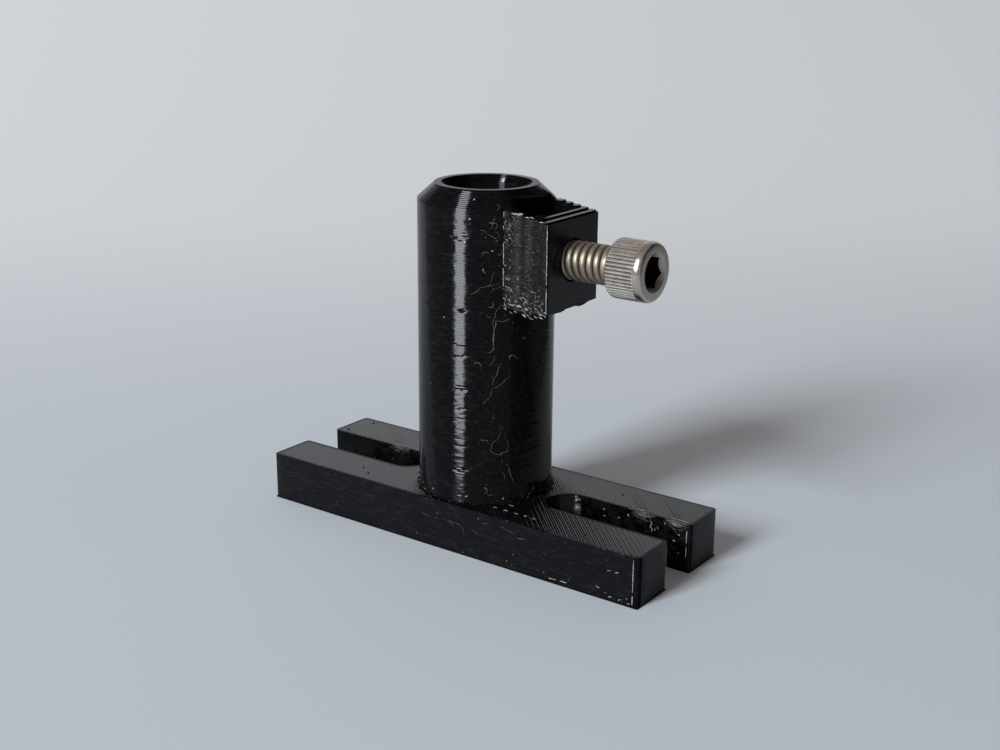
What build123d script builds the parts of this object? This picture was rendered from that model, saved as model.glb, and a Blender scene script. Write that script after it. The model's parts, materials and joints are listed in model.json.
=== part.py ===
from build123d import *
import math
import os

# An optical post holder. One printed body has a slotted base, a tube that takes a half-inch post,
# and a clamp block on the tube's side. A hex nut sits in a pocket of that block, which is open at
# the top, and a quarter-inch cap screw runs through it to press on the post.
#
# Millimetres. The origin is on the tube's axis, on the surface that the base stands on.
# +X runs along the base towards the screw's head, and +Z runs up the tube.

# ---- Driving dimensions ----

# The print
layer_height = 0.25

# The post that the tube takes
post_diameter = 12.7
post_clearance = 0.15
post_lead_in = 1.0

# The base, with one open slot in from each end
base_length = 76.2
base_width = 25.0
base_height = 8.4
base_corner_radius = 1.0
slot_width = 7.4
slot_web = 2.05

# The tube
tube_wall = 4.85
holder_height = 60.0
bore_floor = 5.0
rim_chamfer_width = 2.93
rim_chamfer_height = 2.65

# The clamp block. Its top falls away from the tube in steps of one layer.
pocket_back_wall = 2.1
pocket_side_wall = 1.6
block_front_wall = 2.6
block_front_drop = 4.0
block_depth_below_screw = 7.6
block_corner_radius = 0.3
block_step_count = 5
block_step_length = 1.45
block_front_step = 0.4

# The cap screw, 1/4 inch with 20 threads to the inch
screw_diameter = 6.35
screw_length = 15.875
screw_drop = 10.65
screw_standoff = 8.38
screw_point_chamfer = 0.8
head_diameter = 9.525
head_height = 6.35
head_front_chamfer = 0.36
head_back_radius = 0.4
socket_across_flats = 4.7625
socket_depth = 3.4
socket_countersink = 0.38
socket_turn = 12.2
knurl_count = 48
knurl_depth = 0.2
knurl_back_margin = 0.35
knurl_front_margin = 1.2

# The nut in its pocket
nut_across_flats = 11.11
nut_thickness = 5.56
nut_face_diameter = 10.8
nut_chamfer_angle = 30.0
nut_countersink = 0.35

# Clearances
nut_side_clearance = 0.15
nut_end_clearance = 0.12
thread_clearance = 0.05
screw_hole_clearance = 0.325

# ---- Sizes that follow ----

bore_radius = post_diameter / 2 + post_clearance
tube_radius = bore_radius + tube_wall
slot_inner_x = tube_radius + slot_web + slot_width / 2
slot_outer_x = base_length / 2 + slot_width

pocket_back_x = bore_radius + pocket_back_wall
nut_back_x = pocket_back_x + nut_end_clearance
nut_front_x = nut_back_x + nut_thickness
pocket_front_x = nut_front_x + nut_end_clearance
block_front_x = pocket_front_x + block_front_wall
pocket_width = nut_across_flats + 2 * nut_side_clearance
block_width = pocket_width + 2 * pocket_side_wall

screw_z = holder_height - screw_drop
block_front_z = holder_height - block_front_drop
block_floor_z = screw_z - block_depth_below_screw

screw_radius = screw_diameter / 2
head_radius = head_diameter / 2
head_back_x = block_front_x + screw_standoff
head_front_x = head_back_x + head_height
screw_tip_x = head_back_x - screw_length

# A hexagon's corners stand further out than its flats
corner_per_flat = 1 / math.cos(math.radians(30))
nut_corner_radius = nut_across_flats / 2 * corner_per_flat
pocket_corner_radius = pocket_width / 2 * corner_per_flat
socket_corner_radius = socket_across_flats / 2 * corner_per_flat

# The screw's axis, and the plane across it at x = 0, whose own x and y are the part's Y and Z
screw_axis = Axis((0, 0, screw_z), (1, 0, 0))
screw_plane = Plane(origin=(0, 0, screw_z), x_dir=(0, 1, 0), z_dir=(1, 0, 0))


def block_side():
    """The clamp block's side view, as (x, z) corners, with the steps along its top."""
    corners = [(0, block_floor_z), (block_front_x, block_floor_z)]
    x = block_front_x
    z = block_front_z
    step = block_front_step
    for _ in range(block_step_count):
        corners += [(x, z), (x - step, z)]
        x -= step
        z += layer_height
        step = block_step_length
    return corners + [(x, z), (0, z)]


# ---- The printed body ----

with BuildPart() as holder_body:
    # The clamp block, with its two upright front corners rounded
    with BuildSketch(Plane.XZ):
        Polygon(*block_side(), align=None)
    extrude(amount=block_width / 2, both=True)
    fillet(faces().sort_by(Axis.X)[-1].edges().filter_by(Axis.Z), block_corner_radius)

    # The tube, chamfered at its rim
    with BuildSketch(Plane.XZ):
        Polygon(
            (0, 0),
            (tube_radius, 0),
            (tube_radius, holder_height - rim_chamfer_height),
            (tube_radius - rim_chamfer_width, holder_height),
            (0, holder_height),
            align=None,
        )
    revolve(axis=Axis.Z)

    # The base: a bar with a slot in from each end, round at its inner end, and every corner
    # of both ends rounded
    with BuildSketch():
        Rectangle(base_length, base_width)
        for side in (-1, 1):
            with Locations((side * (slot_inner_x + slot_outer_x) / 2, 0)):
                SlotCenterToCenter(slot_outer_x - slot_inner_x, slot_width, mode=Mode.SUBTRACT)
        end_corners = vertices().group_by(Axis.X)
        fillet(end_corners[0] + end_corners[-1], base_corner_radius)
    extrude(amount=base_height)

    # The bore for the post, blind at the foot and opened out at the mouth
    with BuildSketch(Plane.XZ):
        Polygon(
            (0, bore_floor),
            (bore_radius, bore_floor),
            (bore_radius, holder_height - post_lead_in),
            (bore_radius + post_lead_in, holder_height),
            (0, holder_height),
            align=None,
        )
    revolve(axis=Axis.Z, mode=Mode.SUBTRACT)

    # The nut's pocket: a hexagon's lower half, with straight sides up through the top
    with BuildSketch(screw_plane.offset(pocket_back_x)):
        RegularPolygon(pocket_corner_radius, 6, rotation=30)
        Rectangle(pocket_width, screw_drop, align=(Align.CENTER, Align.MIN))
    extrude(amount=pocket_front_x - pocket_back_x, mode=Mode.SUBTRACT)

    # The screw's clearance hole, from the bore out through the block's front
    with BuildSketch(screw_plane):
        Circle(screw_radius + screw_hole_clearance)
    extrude(amount=block_front_x, mode=Mode.SUBTRACT)

# ---- The captive nut, with its corners turned down at both faces ----

with BuildPart() as clamp_nut:
    with BuildSketch(screw_plane.offset(nut_back_x)):
        RegularPolygon(nut_corner_radius, 6, rotation=30)
        Circle(screw_radius + thread_clearance, mode=Mode.SUBTRACT)
    extrude(amount=nut_thickness)
    bore_mouths = edges().filter_by(GeomType.CIRCLE)
    chamfer(bore_mouths, nut_countersink)

    nut_face_radius = nut_face_diameter / 2
    corner_setback = (nut_corner_radius - nut_face_radius) * math.tan(math.radians(nut_chamfer_angle))
    with BuildSketch(Plane.XZ.shift_origin((0, 0, screw_z))):
        Polygon(
            (nut_back_x, 0),
            (nut_back_x, nut_face_radius),
            (nut_back_x + corner_setback, nut_corner_radius),
            (nut_front_x - corner_setback, nut_corner_radius),
            (nut_front_x, nut_face_radius),
            (nut_front_x, 0),
            align=None,
        )
    revolve(axis=screw_axis, mode=Mode.INTERSECT)

# ---- The cap screw: a chamfered shank, and a head with a knurl and a hexagon socket ----

with BuildPart() as clamp_screw:
    with BuildSketch(Plane.XZ.shift_origin((0, 0, screw_z))):
        Polygon(
            (screw_tip_x, 0),
            (screw_tip_x, screw_radius - screw_point_chamfer),
            (screw_tip_x + screw_point_chamfer, screw_radius),
            (head_back_x, screw_radius),
            (head_back_x, head_radius),
            (head_front_x - head_front_chamfer, head_radius),
            (head_front_x, head_radius - head_front_chamfer),
            (head_front_x, 0),
            align=None,
        )
        fillet(vertices().group_by(Axis.Z)[-1].sort_by(Axis.X)[0], head_back_radius)
    revolve(axis=screw_axis)

    # The knurl: V grooves along the head, clear of both its ends
    with BuildSketch(screw_plane.offset(head_back_x + knurl_back_margin)):
        with PolarLocations(head_radius, knurl_count):
            Polygon(
                (-knurl_depth, 0),
                (knurl_depth, 2 * knurl_depth),
                (knurl_depth, -2 * knurl_depth),
                align=None,
            )
    extrude(amount=head_height - knurl_back_margin - knurl_front_margin, mode=Mode.SUBTRACT)

    # The socket, with a cone that eases the key in
    with BuildSketch(screw_plane.offset(head_front_x)):
        RegularPolygon(socket_corner_radius, 6, rotation=-socket_turn)
    extrude(amount=-socket_depth, mode=Mode.SUBTRACT)
    countersink_radius = socket_corner_radius + socket_countersink
    with BuildSketch(Plane.XZ.shift_origin((0, 0, screw_z))):
        Polygon(
            (head_front_x, 0),
            (head_front_x, countersink_radius),
            (head_front_x - countersink_radius, 0),
            align=None,
        )
    revolve(axis=screw_axis, mode=Mode.SUBTRACT)

# ---- Labels and files ----

os.makedirs("parts", exist_ok=True)
holder_body.part.label = "holder_body"
export_step(holder_body.part, "parts/holder_body.step")
clamp_nut.part.label = "clamp_nut"
export_step(clamp_nut.part, "parts/clamp_nut.step")
clamp_screw.part.label = "clamp_screw"
export_step(clamp_screw.part, "parts/clamp_screw.step")
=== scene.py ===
# %% [markdown]
# # A printed optical post holder
#
# The object is one black 3D print, a stainless cap screw and a nut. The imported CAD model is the
# frame: every size and place below comes from it, in the same axes. +X runs along the base towards
# the screw's head, and +Z runs up the tube. Here the print gets its real surface, layer by layer,
# and the screw gets its thread.

# %% Load the frame
import json
import math

import bmesh
import bpy
import numpy as np
from mathutils import Matrix, Vector

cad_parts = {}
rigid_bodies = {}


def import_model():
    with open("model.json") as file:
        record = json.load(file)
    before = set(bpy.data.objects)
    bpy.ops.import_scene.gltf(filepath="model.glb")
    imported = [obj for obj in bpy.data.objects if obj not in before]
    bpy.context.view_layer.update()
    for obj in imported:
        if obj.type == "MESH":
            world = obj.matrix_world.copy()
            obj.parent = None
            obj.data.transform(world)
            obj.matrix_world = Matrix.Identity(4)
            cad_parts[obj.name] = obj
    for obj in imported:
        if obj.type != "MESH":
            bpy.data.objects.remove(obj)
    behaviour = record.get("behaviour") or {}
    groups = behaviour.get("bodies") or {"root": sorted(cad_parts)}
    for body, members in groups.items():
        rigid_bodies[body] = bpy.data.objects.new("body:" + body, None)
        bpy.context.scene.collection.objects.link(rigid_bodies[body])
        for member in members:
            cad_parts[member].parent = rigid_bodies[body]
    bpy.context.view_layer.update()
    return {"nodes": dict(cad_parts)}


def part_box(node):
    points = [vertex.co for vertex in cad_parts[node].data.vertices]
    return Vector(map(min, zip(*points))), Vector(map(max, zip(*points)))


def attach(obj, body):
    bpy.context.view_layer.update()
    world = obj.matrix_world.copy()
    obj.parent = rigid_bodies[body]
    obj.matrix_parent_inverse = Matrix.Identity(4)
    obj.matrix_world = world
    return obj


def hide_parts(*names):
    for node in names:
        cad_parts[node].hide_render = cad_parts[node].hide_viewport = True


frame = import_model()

# %% [markdown]
# ## Sizes
#
# The meshes are worked out in millimetres and written in metres. What the frame can tell is read
# from it: the base's length and width, the height, the screw's axis and its two ends. The other
# sizes are the drawing's own.

# %% Sizes in millimetres
MM = 0.001

body_low, body_high = (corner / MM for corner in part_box("holder_body"))
screw_low, screw_high = (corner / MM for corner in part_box("clamp_screw"))
nut_low, nut_high = (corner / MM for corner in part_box("clamp_nut"))

layer_height = 0.25
base_length = body_high.x - body_low.x
base_width = body_high.y - body_low.y
holder_height = body_high.z
base_height = 8.4
base_corner_radius = 0.4
facing_corner_radius = 1.0
inner_corner_radius = 0.6
slot_width = 7.4
slot_inner_x = 17.1

tube_radius = 11.35
bore_radius = 6.5
bore_floor = 5.0
lead_in = 1.0
rim_chamfer_width = 2.93
rim_chamfer_height = 2.65

nut_gap = 0.12
wall_gap = 0.15
pocket_side_wall = 1.6
pocket_back_x = nut_low.x - nut_gap
pocket_front_x = nut_high.x + nut_gap
pocket_half = (nut_high.y - nut_low.y) / 2 + wall_gap

screw_z = (screw_low.z + screw_high.z) / 2
block_front_wall = 2.6
block_depth_below_screw = 7.6
block_front_drop = 4.0
block_half = pocket_half + pocket_side_wall
block_front_x = pocket_front_x + block_front_wall
block_floor_z = screw_z - block_depth_below_screw
block_front_z = holder_height - block_front_drop
block_corner_radius = 0.45
block_front_step = 0.4
block_step = 1.45
block_step_count = 5
screw_hole_radius = 3.5

screw_radius = 3.175
thread_pitch = 1.27
head_radius = (screw_high.z - screw_low.z) / 2
head_front_x = screw_high.x
head_height = 6.35
head_back_x = head_front_x - head_height
screw_tip_x = screw_low.x

print("base", round(base_length, 2), "x", round(base_width, 2), "height", round(holder_height, 2))
print("screw axis at", round(screw_z, 2), "from", round(screw_tip_x, 2), "to", round(head_front_x, 2))

# %% [markdown]
# ## Small tools
#
# A mesh is built from rings of points: each ring is joined to the next by quads, and the two ends
# are closed. A wall, a tube, a bore and a turned head are all such stacks of rings. `add_node`
# adds one node to any tree, with its settings and its links.

# %% Objects


def put_in_scene(name, data):
    """An object that shows a mesh, a lamp or a camera."""
    made = bpy.data.objects.new(name, data)
    bpy.context.scene.collection.objects.link(made)
    return made


def new_object(name, vertices, faces, material=None):
    """A mesh object in the scene, from points in millimetres."""
    mesh = bpy.data.meshes.new(name)
    mesh.from_pydata((np.asarray(vertices, float) * MM).tolist(), [], faces)
    mesh.validate()
    if material:
        mesh.materials.append(material)
    return put_in_scene(name, mesh)


# %% Rings


def even_angles(count):
    """Angles in equal steps round a full turn."""
    return np.arange(count) * 2 * math.pi / count


def ways_out(angles):
    """The way out from an axis at each angle, as two coordinates."""
    return np.column_stack((np.cos(angles), np.sin(angles)))


def at_height(outline, z):
    """An outline of (x, y) points as a ring at a height."""
    return np.column_stack((outline, np.full(len(outline), z)))


def at_x(section, x):
    """An outline of (y, z) points as a ring across the X axis."""
    return np.column_stack((np.full(len(section), x), section))


# %% Mesh from rings


def ring_faces(count, around, start=0):
    """Quads that join each of `count` rings to the next. The first point's number is `start`."""
    faces = []
    for low in range(start, start + (count - 1) * around, around):
        for step in range(around):
            beside = (step + 1) % around
            faces.append((low + step, low + beside, low + around + beside, low + around + step))
    return faces


def stack(name, rings, first_pole=None, last_pole=None, material=None):
    """A closed mesh through rings of equally many points. An end is one flat face, or runs to a pole.

    Rings run anticlockwise seen from the far end, so that the faces look outwards.
    """
    rings = np.asarray(rings, float)
    count, around = rings.shape[:2]
    vertices = rings.reshape(-1, 3).tolist()
    faces = ring_faces(count, around)
    last = (count - 1) * around
    if first_pole is None:
        faces.append(tuple(reversed(range(around))))
    else:
        vertices.append(list(first_pole))
        pole = len(vertices) - 1
        faces += [(pole, (step + 1) % around, step) for step in range(around)]
    if last_pole is None:
        faces.append(tuple(range(last, last + around)))
    else:
        vertices.append(list(last_pole))
        pole = len(vertices) - 1
        faces += [(pole, last + step, last + (step + 1) % around) for step in range(around)]
    return new_object(name, vertices, faces, material)


# %% Joining and cutting tools


def applied(made, modifier):
    """The mesh that a modifier makes. The modifier itself is removed."""
    graph = bpy.context.evaluated_depsgraph_get()
    mesh = bpy.data.meshes.new_from_object(made.evaluated_get(graph))
    made.modifiers.remove(modifier)
    return mesh


def combine(target, tool, operation):
    """Joins tool to target, or cuts it away, and removes it.

    The tool's faces keep their material in the result. A plain tool takes the target's first one.
    """
    if not len(tool.data.materials):
        tool.data.materials.append(target.data.materials[0])
    modifier = target.modifiers.new("combine", "BOOLEAN")
    modifier.operation = operation
    modifier.solver = "MANIFOLD"
    modifier.material_mode = "TRANSFER"
    modifier.object = tool
    before = target.data
    target.data = applied(target, modifier)
    bpy.data.meshes.remove(before)
    bpy.data.meshes.remove(tool.data)
    if not len(target.data.polygons):
        raise ValueError(f"nothing is left of {target.name}")


# %% Nodes


def set_inputs(tree, node, inputs):
    """Gives each named input of a node a value or a link."""
    for key, value in inputs.items():
        if isinstance(value, bpy.types.NodeSocket):
            tree.links.new(value, node.inputs[key])
        else:
            node.inputs[key].default_value = value


def add_node(tree, kind, inputs=None, **settings):
    """Adds a node with its settings, and gives its inputs their values and links."""
    made = tree.nodes.new(kind)
    for name, value in settings.items():
        setattr(made, name, value)
    set_inputs(tree, made, inputs or {})
    return made


def maths(tree, operation, first, second=0.0, **settings):
    """The result of one sum. A sum on one value leaves the second out."""
    return add_node(tree, "ShaderNodeMath", {0: first, 1: second}, operation=operation, **settings).outputs[0]


def xyz(tree, **parts):
    """A vector from its parts X, Y and Z. A part that is left out is zero."""
    return add_node(tree, "ShaderNodeCombineXYZ", parts).outputs[0]


# %% Geometry Nodes trees


def new_tree(title, sizes):
    """A Geometry Nodes tree, its group input and output, with one input for each named size."""
    tree = bpy.data.node_groups.new(title, "GeometryNodeTree")
    tree.interface.new_socket("Geometry", in_out="INPUT", socket_type="NodeSocketGeometry")
    tree.interface.new_socket("Geometry", in_out="OUTPUT", socket_type="NodeSocketGeometry")
    for name, kind in sizes.items():
        tree.interface.new_socket(name, in_out="INPUT", socket_type="NodeSocket" + kind)
    return tree, tree.nodes.new("NodeGroupInput"), tree.nodes.new("NodeGroupOutput")


def real_copies(tree, points, shape, weld=None, **inputs):
    """Copies of a shape on points, made real, and welded where they are closer than `weld`."""
    copies = add_node(tree, "GeometryNodeInstanceOnPoints", {"Points": points, "Instance": shape, **inputs})
    solid = add_node(tree, "GeometryNodeRealizeInstances", {0: copies.outputs[0]}).outputs[0]
    if weld is None:
        return solid
    welded = add_node(tree, "GeometryNodeMergeByDistance", {"Geometry": solid, "Distance": weld * MM})
    return welded.outputs[0]


def end_tree(tree, given, result, geometry, **placing):
    """Ends a tree: the geometry is moved or turned if asked, and gets the given material."""
    if placing:
        geometry = add_node(tree, "GeometryNodeTransform", {"Geometry": geometry, **placing}).outputs[0]
    dressed = add_node(
        tree, "GeometryNodeSetMaterial", {"Geometry": geometry, "Material": given.outputs["Material"]}
    )
    tree.links.new(dressed.outputs[0], result.inputs[0])


def run_tree(tree, carrier, values, name):
    """Runs a tree on a carrier object and returns a new plain mesh object."""
    modifier = carrier.modifiers.new(tree.name, "NODES")
    modifier.node_group = tree
    for item in tree.interface.items_tree:
        if item.in_out == "INPUT" and item.name in values:
            modifier[item.identifier] = values[item.name]
    mesh = applied(carrier, modifier)
    mesh.name = name
    print(name, "has", len(mesh.polygons), "faces")
    return put_in_scene(name, mesh)


# %% [markdown]
# ## Camera
#
# The camera looks down a little on the near side of the base, with the screw's head to the right.
# Its place is worked out from two angles, a small roll, a distance and a small sideways shift.

# %% Camera
camera_azimuth = math.radians(35.915)
camera_elevation = math.radians(17.218)
camera_roll = math.radians(0.442)
camera_distance = 248.15
camera_aside = 2.56
camera_raise = 26.016
camera_lens = 51.36
camera_film = 36

back = Vector((
    math.sin(camera_azimuth) * math.cos(camera_elevation),
    -math.cos(camera_azimuth) * math.cos(camera_elevation),
    math.sin(camera_elevation),
))
level = Vector((math.cos(camera_azimuth), math.sin(camera_azimuth), 0))
steep = back.cross(level)
right = level * math.cos(camera_roll) + steep * math.sin(camera_roll)
upright = steep * math.cos(camera_roll) - level * math.sin(camera_roll)
camera_place = back * camera_distance + right * camera_aside + upright * camera_raise

camera_data = bpy.data.cameras.new("camera")
camera_data.lens = camera_lens
camera_data.sensor_width = camera_film
camera = put_in_scene("camera", camera_data)
turn = Matrix((right, upright, back)).transposed().to_4x4()
camera.matrix_world = Matrix.Translation(camera_place * MM) @ turn
bpy.context.scene.camera = camera
bpy.context.scene.view_settings.view_transform = "Standard"
print("camera at", [round(v, 1) for v in camera_place], "mm")

# %% [markdown]
# ## Floor, backdrop and light
#
# The holder stands on a pale sheet that rises behind it, painted paler away from the camera as
# painted light. One large window stands at the left of the camera, 31 degrees up, and the room fills
# the shadows. The window is an area lamp, 15 degrees wide and 23 high seen from the holder. It draws
# the bright strip down the tube and the long soft shadow. A dark wall stands at the right as painted
# shade for the room's shaded side, because a black glossy thing shows mostly what it mirrors.

# %% Colours, patterns and materials


def linear(hex_colour):
    """An sRGB hex colour as the linear colour that a shader takes."""
    channels = [int(hex_colour[i : i + 2], 16) / 255 for i in (1, 3, 5)]
    values = [c / 12.92 if c <= 0.04045 else ((c + 0.055) / 1.055) ** 2.4 for c in channels]
    return (*values, 1.0)


def new_material(name):
    """A node material, its tree, its Principled shader and its Object coordinates."""
    material = bpy.data.materials.new(name)
    material.use_nodes = True
    tree = material.node_tree
    where = add_node(tree, "ShaderNodeTexCoord").outputs["Object"]
    print("material:", name)
    return material, tree, tree.nodes["Principled BSDF"], where


def noise(tree, where, size, detail=3.0, rough=0.5):
    """Noise whose blotches are about `size` millimetres."""
    return add_node(
        tree, "ShaderNodeTexNoise",
        {"Vector": where, "Scale": 1 / (size * MM), "Detail": detail, "Roughness": rough},
    ).outputs["Fac"]


def ranged(tree, value, low, high, start=0.0, end=1.0):
    """A value from start..end as one from low..high, held inside it."""
    return add_node(
        tree, "ShaderNodeMapRange",
        {"Value": value, "From Min": start, "From Max": end, "To Min": low, "To Max": high},
    ).outputs[0]


def between(tree, value, start, end):
    """0 where a value is start or less, 1 where it is end or more, and in proportion between."""
    return ranged(tree, value, 0.0, 1.0, start, end)


def blend(tree, share, first, second):
    """A colour between two hex colours."""
    mix = add_node(tree, "ShaderNodeMix", {"Factor": share}, data_type="RGBA")
    mix.inputs[6].default_value = linear(first)
    mix.inputs[7].default_value = linear(second)
    return mix.outputs[2]


def bump(tree, height, depth, normal=None, strength=1.0):
    """A bump `depth` millimetres high, on top of another one if there is one."""
    inputs = {"Height": height, "Distance": depth * MM, "Strength": strength}
    if normal is not None:
        inputs["Normal"] = normal
    return add_node(tree, "ShaderNodeBump", inputs).outputs[0]


# %% Paper for the floor and backdrop
# Matt paper: almost no gloss, and a grain too fine to see more than faintly. Its colour is painted
# paler away from the camera: painted light that brightens the far floor and the backdrop.
grains_a_metre = 900
painted_light_reach = 0.28

paper, tree, shader, where = new_material("matt white paper")
depth_way = add_node(
    tree, "ShaderNodeVectorMath", {0: where, 1: (-back.x, -back.y, 0.0)}, operation="DOT_PRODUCT"
)
painted_far_light = add_node(
    tree, "ShaderNodeMapRange", {"Value": depth_way.outputs["Value"], "From Max": painted_light_reach},
    interpolation_type="SMOOTHSTEP",
)
set_inputs(tree, shader, {
    "Base Color": blend(tree, painted_far_light.outputs[0], "#d0d8dc", "#eff5f6"),
    "Roughness": 0.9,
    "Specular IOR Level": 0.15,
    "Normal": bump(tree, noise(tree, where, 1000 / grains_a_metre), 0.04, strength=0.3),
})

# %% The sheet
sheet_half_width = 1100.0
sheet_front = -600.0
sheet_back = 200.0
sheet_bend = 1400.0
sheet_top = 1500.0
bend_steps = 24


def ribbon(name, pairs, material):
    """A band of quads through pairs of points."""
    points = [point for pair in pairs for point in pair]
    faces = [(2 * i, 2 * i + 1, 2 * i + 3, 2 * i + 2) for i in range(len(pairs) - 1)]
    return new_object(name, points, faces, material)


profile = [(sheet_front, 0.0), (sheet_back, 0.0)]
for step in range(1, bend_steps + 1):
    angle = math.radians(90 * step / bend_steps)
    profile.append((sheet_back + sheet_bend * math.sin(angle), sheet_bend * (1 - math.cos(angle))))
profile.append((sheet_back + sheet_bend, sheet_top))
away = Vector((-back.x, -back.y, 0)).normalized()
sheet_pairs = []
for distance, height in profile:
    ends = [away * distance + level * side * sheet_half_width for side in (-1, 1)]
    sheet_pairs.append([(end.x, end.y, height) for end in ends])
paper_sheet = ribbon("paper_sheet", sheet_pairs, paper)
paper_sheet.data.shade_smooth()
print("sheet:", len(sheet_pairs) - 1, "bands")

# %% Window
window_azimuth = math.radians(260.0)
window_elevation = math.radians(30.8)
window_distance = 2.2
window_width = 0.58
window_height = 0.9
window_watts = 46.5
window_aim_height = 0.03

towards = Vector((
    math.cos(window_azimuth) * math.cos(window_elevation),
    math.sin(window_azimuth) * math.cos(window_elevation),
    math.sin(window_elevation),
))
window_data = bpy.data.lights.new("window", "AREA")
window_data.shape = "RECTANGLE"
window_data.size = window_width
window_data.size_y = window_height
window_data.energy = window_watts
window_data.color = linear("#f1f7ff")[:3]
window = put_in_scene("window", window_data)
window.location = towards * window_distance + Vector((0, 0, window_aim_height))
window.rotation_euler = (-towards).to_track_quat("-Z", "Y").to_euler()
print("window at", [round(v, 2) for v in window.location], "m")

# %% The room
# A dark, slightly patchy wall put where the room is only in shade: painted shade, which the faces
# that look away from the window mirror.
blotches_a_metre = 60
wall_distance, wall_foot, wall_top = 330.0, 1.0, 420.0

shade_wall, tree, shader, where = new_material("dark wall for the room's shade")
wall_blotches = noise(tree, where, 1000 / blotches_a_metre, detail=4.0)
set_inputs(tree, shader, {"Base Color": blend(tree, wall_blotches, "#222021", "#2e2c2c"), "Roughness": 0.8})
wall_pairs = []
for degrees in range(-12, 75, 6):
    x = wall_distance * math.cos(math.radians(degrees))
    y = wall_distance * math.sin(math.radians(degrees))
    wall_pairs.append([(x, y, wall_foot), (x, y, wall_top)])
dark_side = ribbon("dark_side", wall_pairs, shade_wall)

world = bpy.data.worlds.new("room")
world.use_nodes = True
bpy.context.scene.world = world
room = world.node_tree.nodes["Background"]
room.inputs["Color"].default_value = linear("#ffefed")
room.inputs["Strength"].default_value = 0.29
print("room: a dark wall of", len(wall_pairs) - 1, "bands")

# %% [markdown]
# ## Black PLA
#
# The filament is polylactide, dyed black: a glossy plastic. Laid against air it keeps the nozzle's
# sheen, so the walls show the window as a crisp strip. The top skin, which the nozzle dragged over,
# is duller. Where the walls were printed as many short runs, as beside the nut's pocket, the plastic
# is torn into pale streaks, and two upright bands there are painted pale as a painted sheen. Strings
# and crumbs are painted pale: partly their own colour when drawn so thin, partly painted glints.

# %% What the print's materials share
pla_ior = 1.46


def by_layer(tree, where):
    """Coordinates that are the same all through one layer's height, and new in the next."""
    parts = add_node(tree, "ShaderNodeSeparateXYZ", {0: where})
    number = maths(tree, "FLOOR", maths(tree, "DIVIDE", parts.outputs["Z"], layer_height * MM))
    return xyz(tree, X=parts.outputs["X"], Y=parts.outputs["Y"], Z=number)


def drawn_out(tree, where, squeeze, tilt=0.0):
    """Coordinates that draw a pattern out along X. A tilt, in degrees, makes it slant."""
    return add_node(
        tree, "ShaderNodeMapping",
        {"Vector": where, "Rotation": (0.0, math.radians(tilt), 0.0), "Scale": (squeeze, 1.0, 1.0)},
    ).outputs[0]


# %% Printed walls
# Each layer's bead is a little uneven along its way, which makes the reflection ragged from one
# layer to the next. Some runs are duller than others, and handling has rubbed faint grey streaks
# along the walls. The base's two ends are handled most and have lost nearly half of their gloss. The
# slots' round ends are out of reach of fingers and screws, and keep all of the nozzle's sheen.


def wall_material(name, gloss):
    """Printed PLA. Gloss is how much it mirrors, where 0.5 is the most that plastic does."""
    material, tree, shader, where = new_material(name)
    bead = noise(tree, by_layer(tree, where), 1.3, detail=2.0, rough=0.6)
    scuff = noise(tree, where, 3.5, detail=6.0, rough=0.65)
    rubbed = noise(tree, drawn_out(tree, where, 0.3), 0.55, detail=5.0, rough=0.7)
    set_inputs(tree, shader, {
        "Base Color": blend(tree, between(tree, rubbed, 0.5, 0.78), "#0d0d10", "#252527"),
        "IOR": pla_ior,
        "Specular IOR Level": gloss,
        "Roughness": maths(
            tree, "ADD", ranged(tree, bead, 0.07, 0.14), ranged(tree, scuff, 0.0, 0.07, start=0.5, end=0.7)
        ),
        "Normal": bump(tree, noise(tree, where, 0.12), 0.002, bump(tree, bead, 0.005)),
    })
    return material


pla_wall = wall_material("black PLA, printed wall", 0.155)
pla_end = wall_material("black PLA, handled end wall", 0.09)
pla_nook = wall_material("black PLA, sheltered round end of a slot", 0.27)

# %% The bore's wall
# Posts sliding in and out have dulled it. One spot on its lead-in was pressed flat and mirrors fully.
dull_gloss, pressed_gloss = 0.07, 0.5
pressed_place = Vector((-1.4, 6.6, 59.2)) * MM
pressed_radius, pressed_edge = 0.25 * MM, 0.5 * MM

pla_bore = wall_material("black PLA, bore dulled by posts", dull_gloss)
tree = pla_bore.node_tree
where = add_node(tree, "ShaderNodeTexCoord").outputs["Object"]
from_spot = add_node(
    tree, "ShaderNodeVectorMath", {0: where, 1: pressed_place}, operation="DISTANCE"
).outputs["Value"]
mirrored = ranged(tree, from_spot, pressed_gloss, dull_gloss, start=pressed_radius, end=pressed_edge)
set_inputs(tree, tree.nodes["Principled BSDF"], {"Specular IOR Level": mirrored})

# %% Rough walls beside the pocket
# Short runs leave blobs. Two upright bands are painted pale: a painted sheen, for the light that
# the wall's ringing catches. Between the bands the plastic is torn into short slanting streaks with
# black gaps.
sheen_band_places = (11.2, 13.4)
sheen_band_core, sheen_band_edge = 0.15 * MM, 1.0 * MM

pla_rough, tree, shader, where = new_material("black PLA, rough wall beside the pocket")
along = add_node(tree, "ShaderNodeSeparateXYZ", {0: where}).outputs["X"]
streaks = between(tree, noise(tree, drawn_out(tree, where, 0.3, -14), 0.3, detail=4.0, rough=0.7), 0.5, 0.64)
cloudy = between(tree, noise(tree, where, 1.8), 0.35, 0.65)
bands = []
for centre in sheen_band_places:
    distance = maths(tree, "ABSOLUTE", maths(tree, "SUBTRACT", along, centre * MM))
    bands.append(ranged(tree, distance, 1.0, 0.0, start=sheen_band_core, end=sheen_band_edge))
sheen_bands = maths(tree, "MAXIMUM", *bands)
painted_sheen = ranged(tree, maths(tree, "MULTIPLY", sheen_bands, cloudy), 0.0, 0.24)
torn_share = maths(tree, "MULTIPLY", streaks, ranged(tree, sheen_bands, 0.25, 0.75))
pale_share = maths(tree, "ADD", painted_sheen, torn_share, use_clamp=True)
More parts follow.
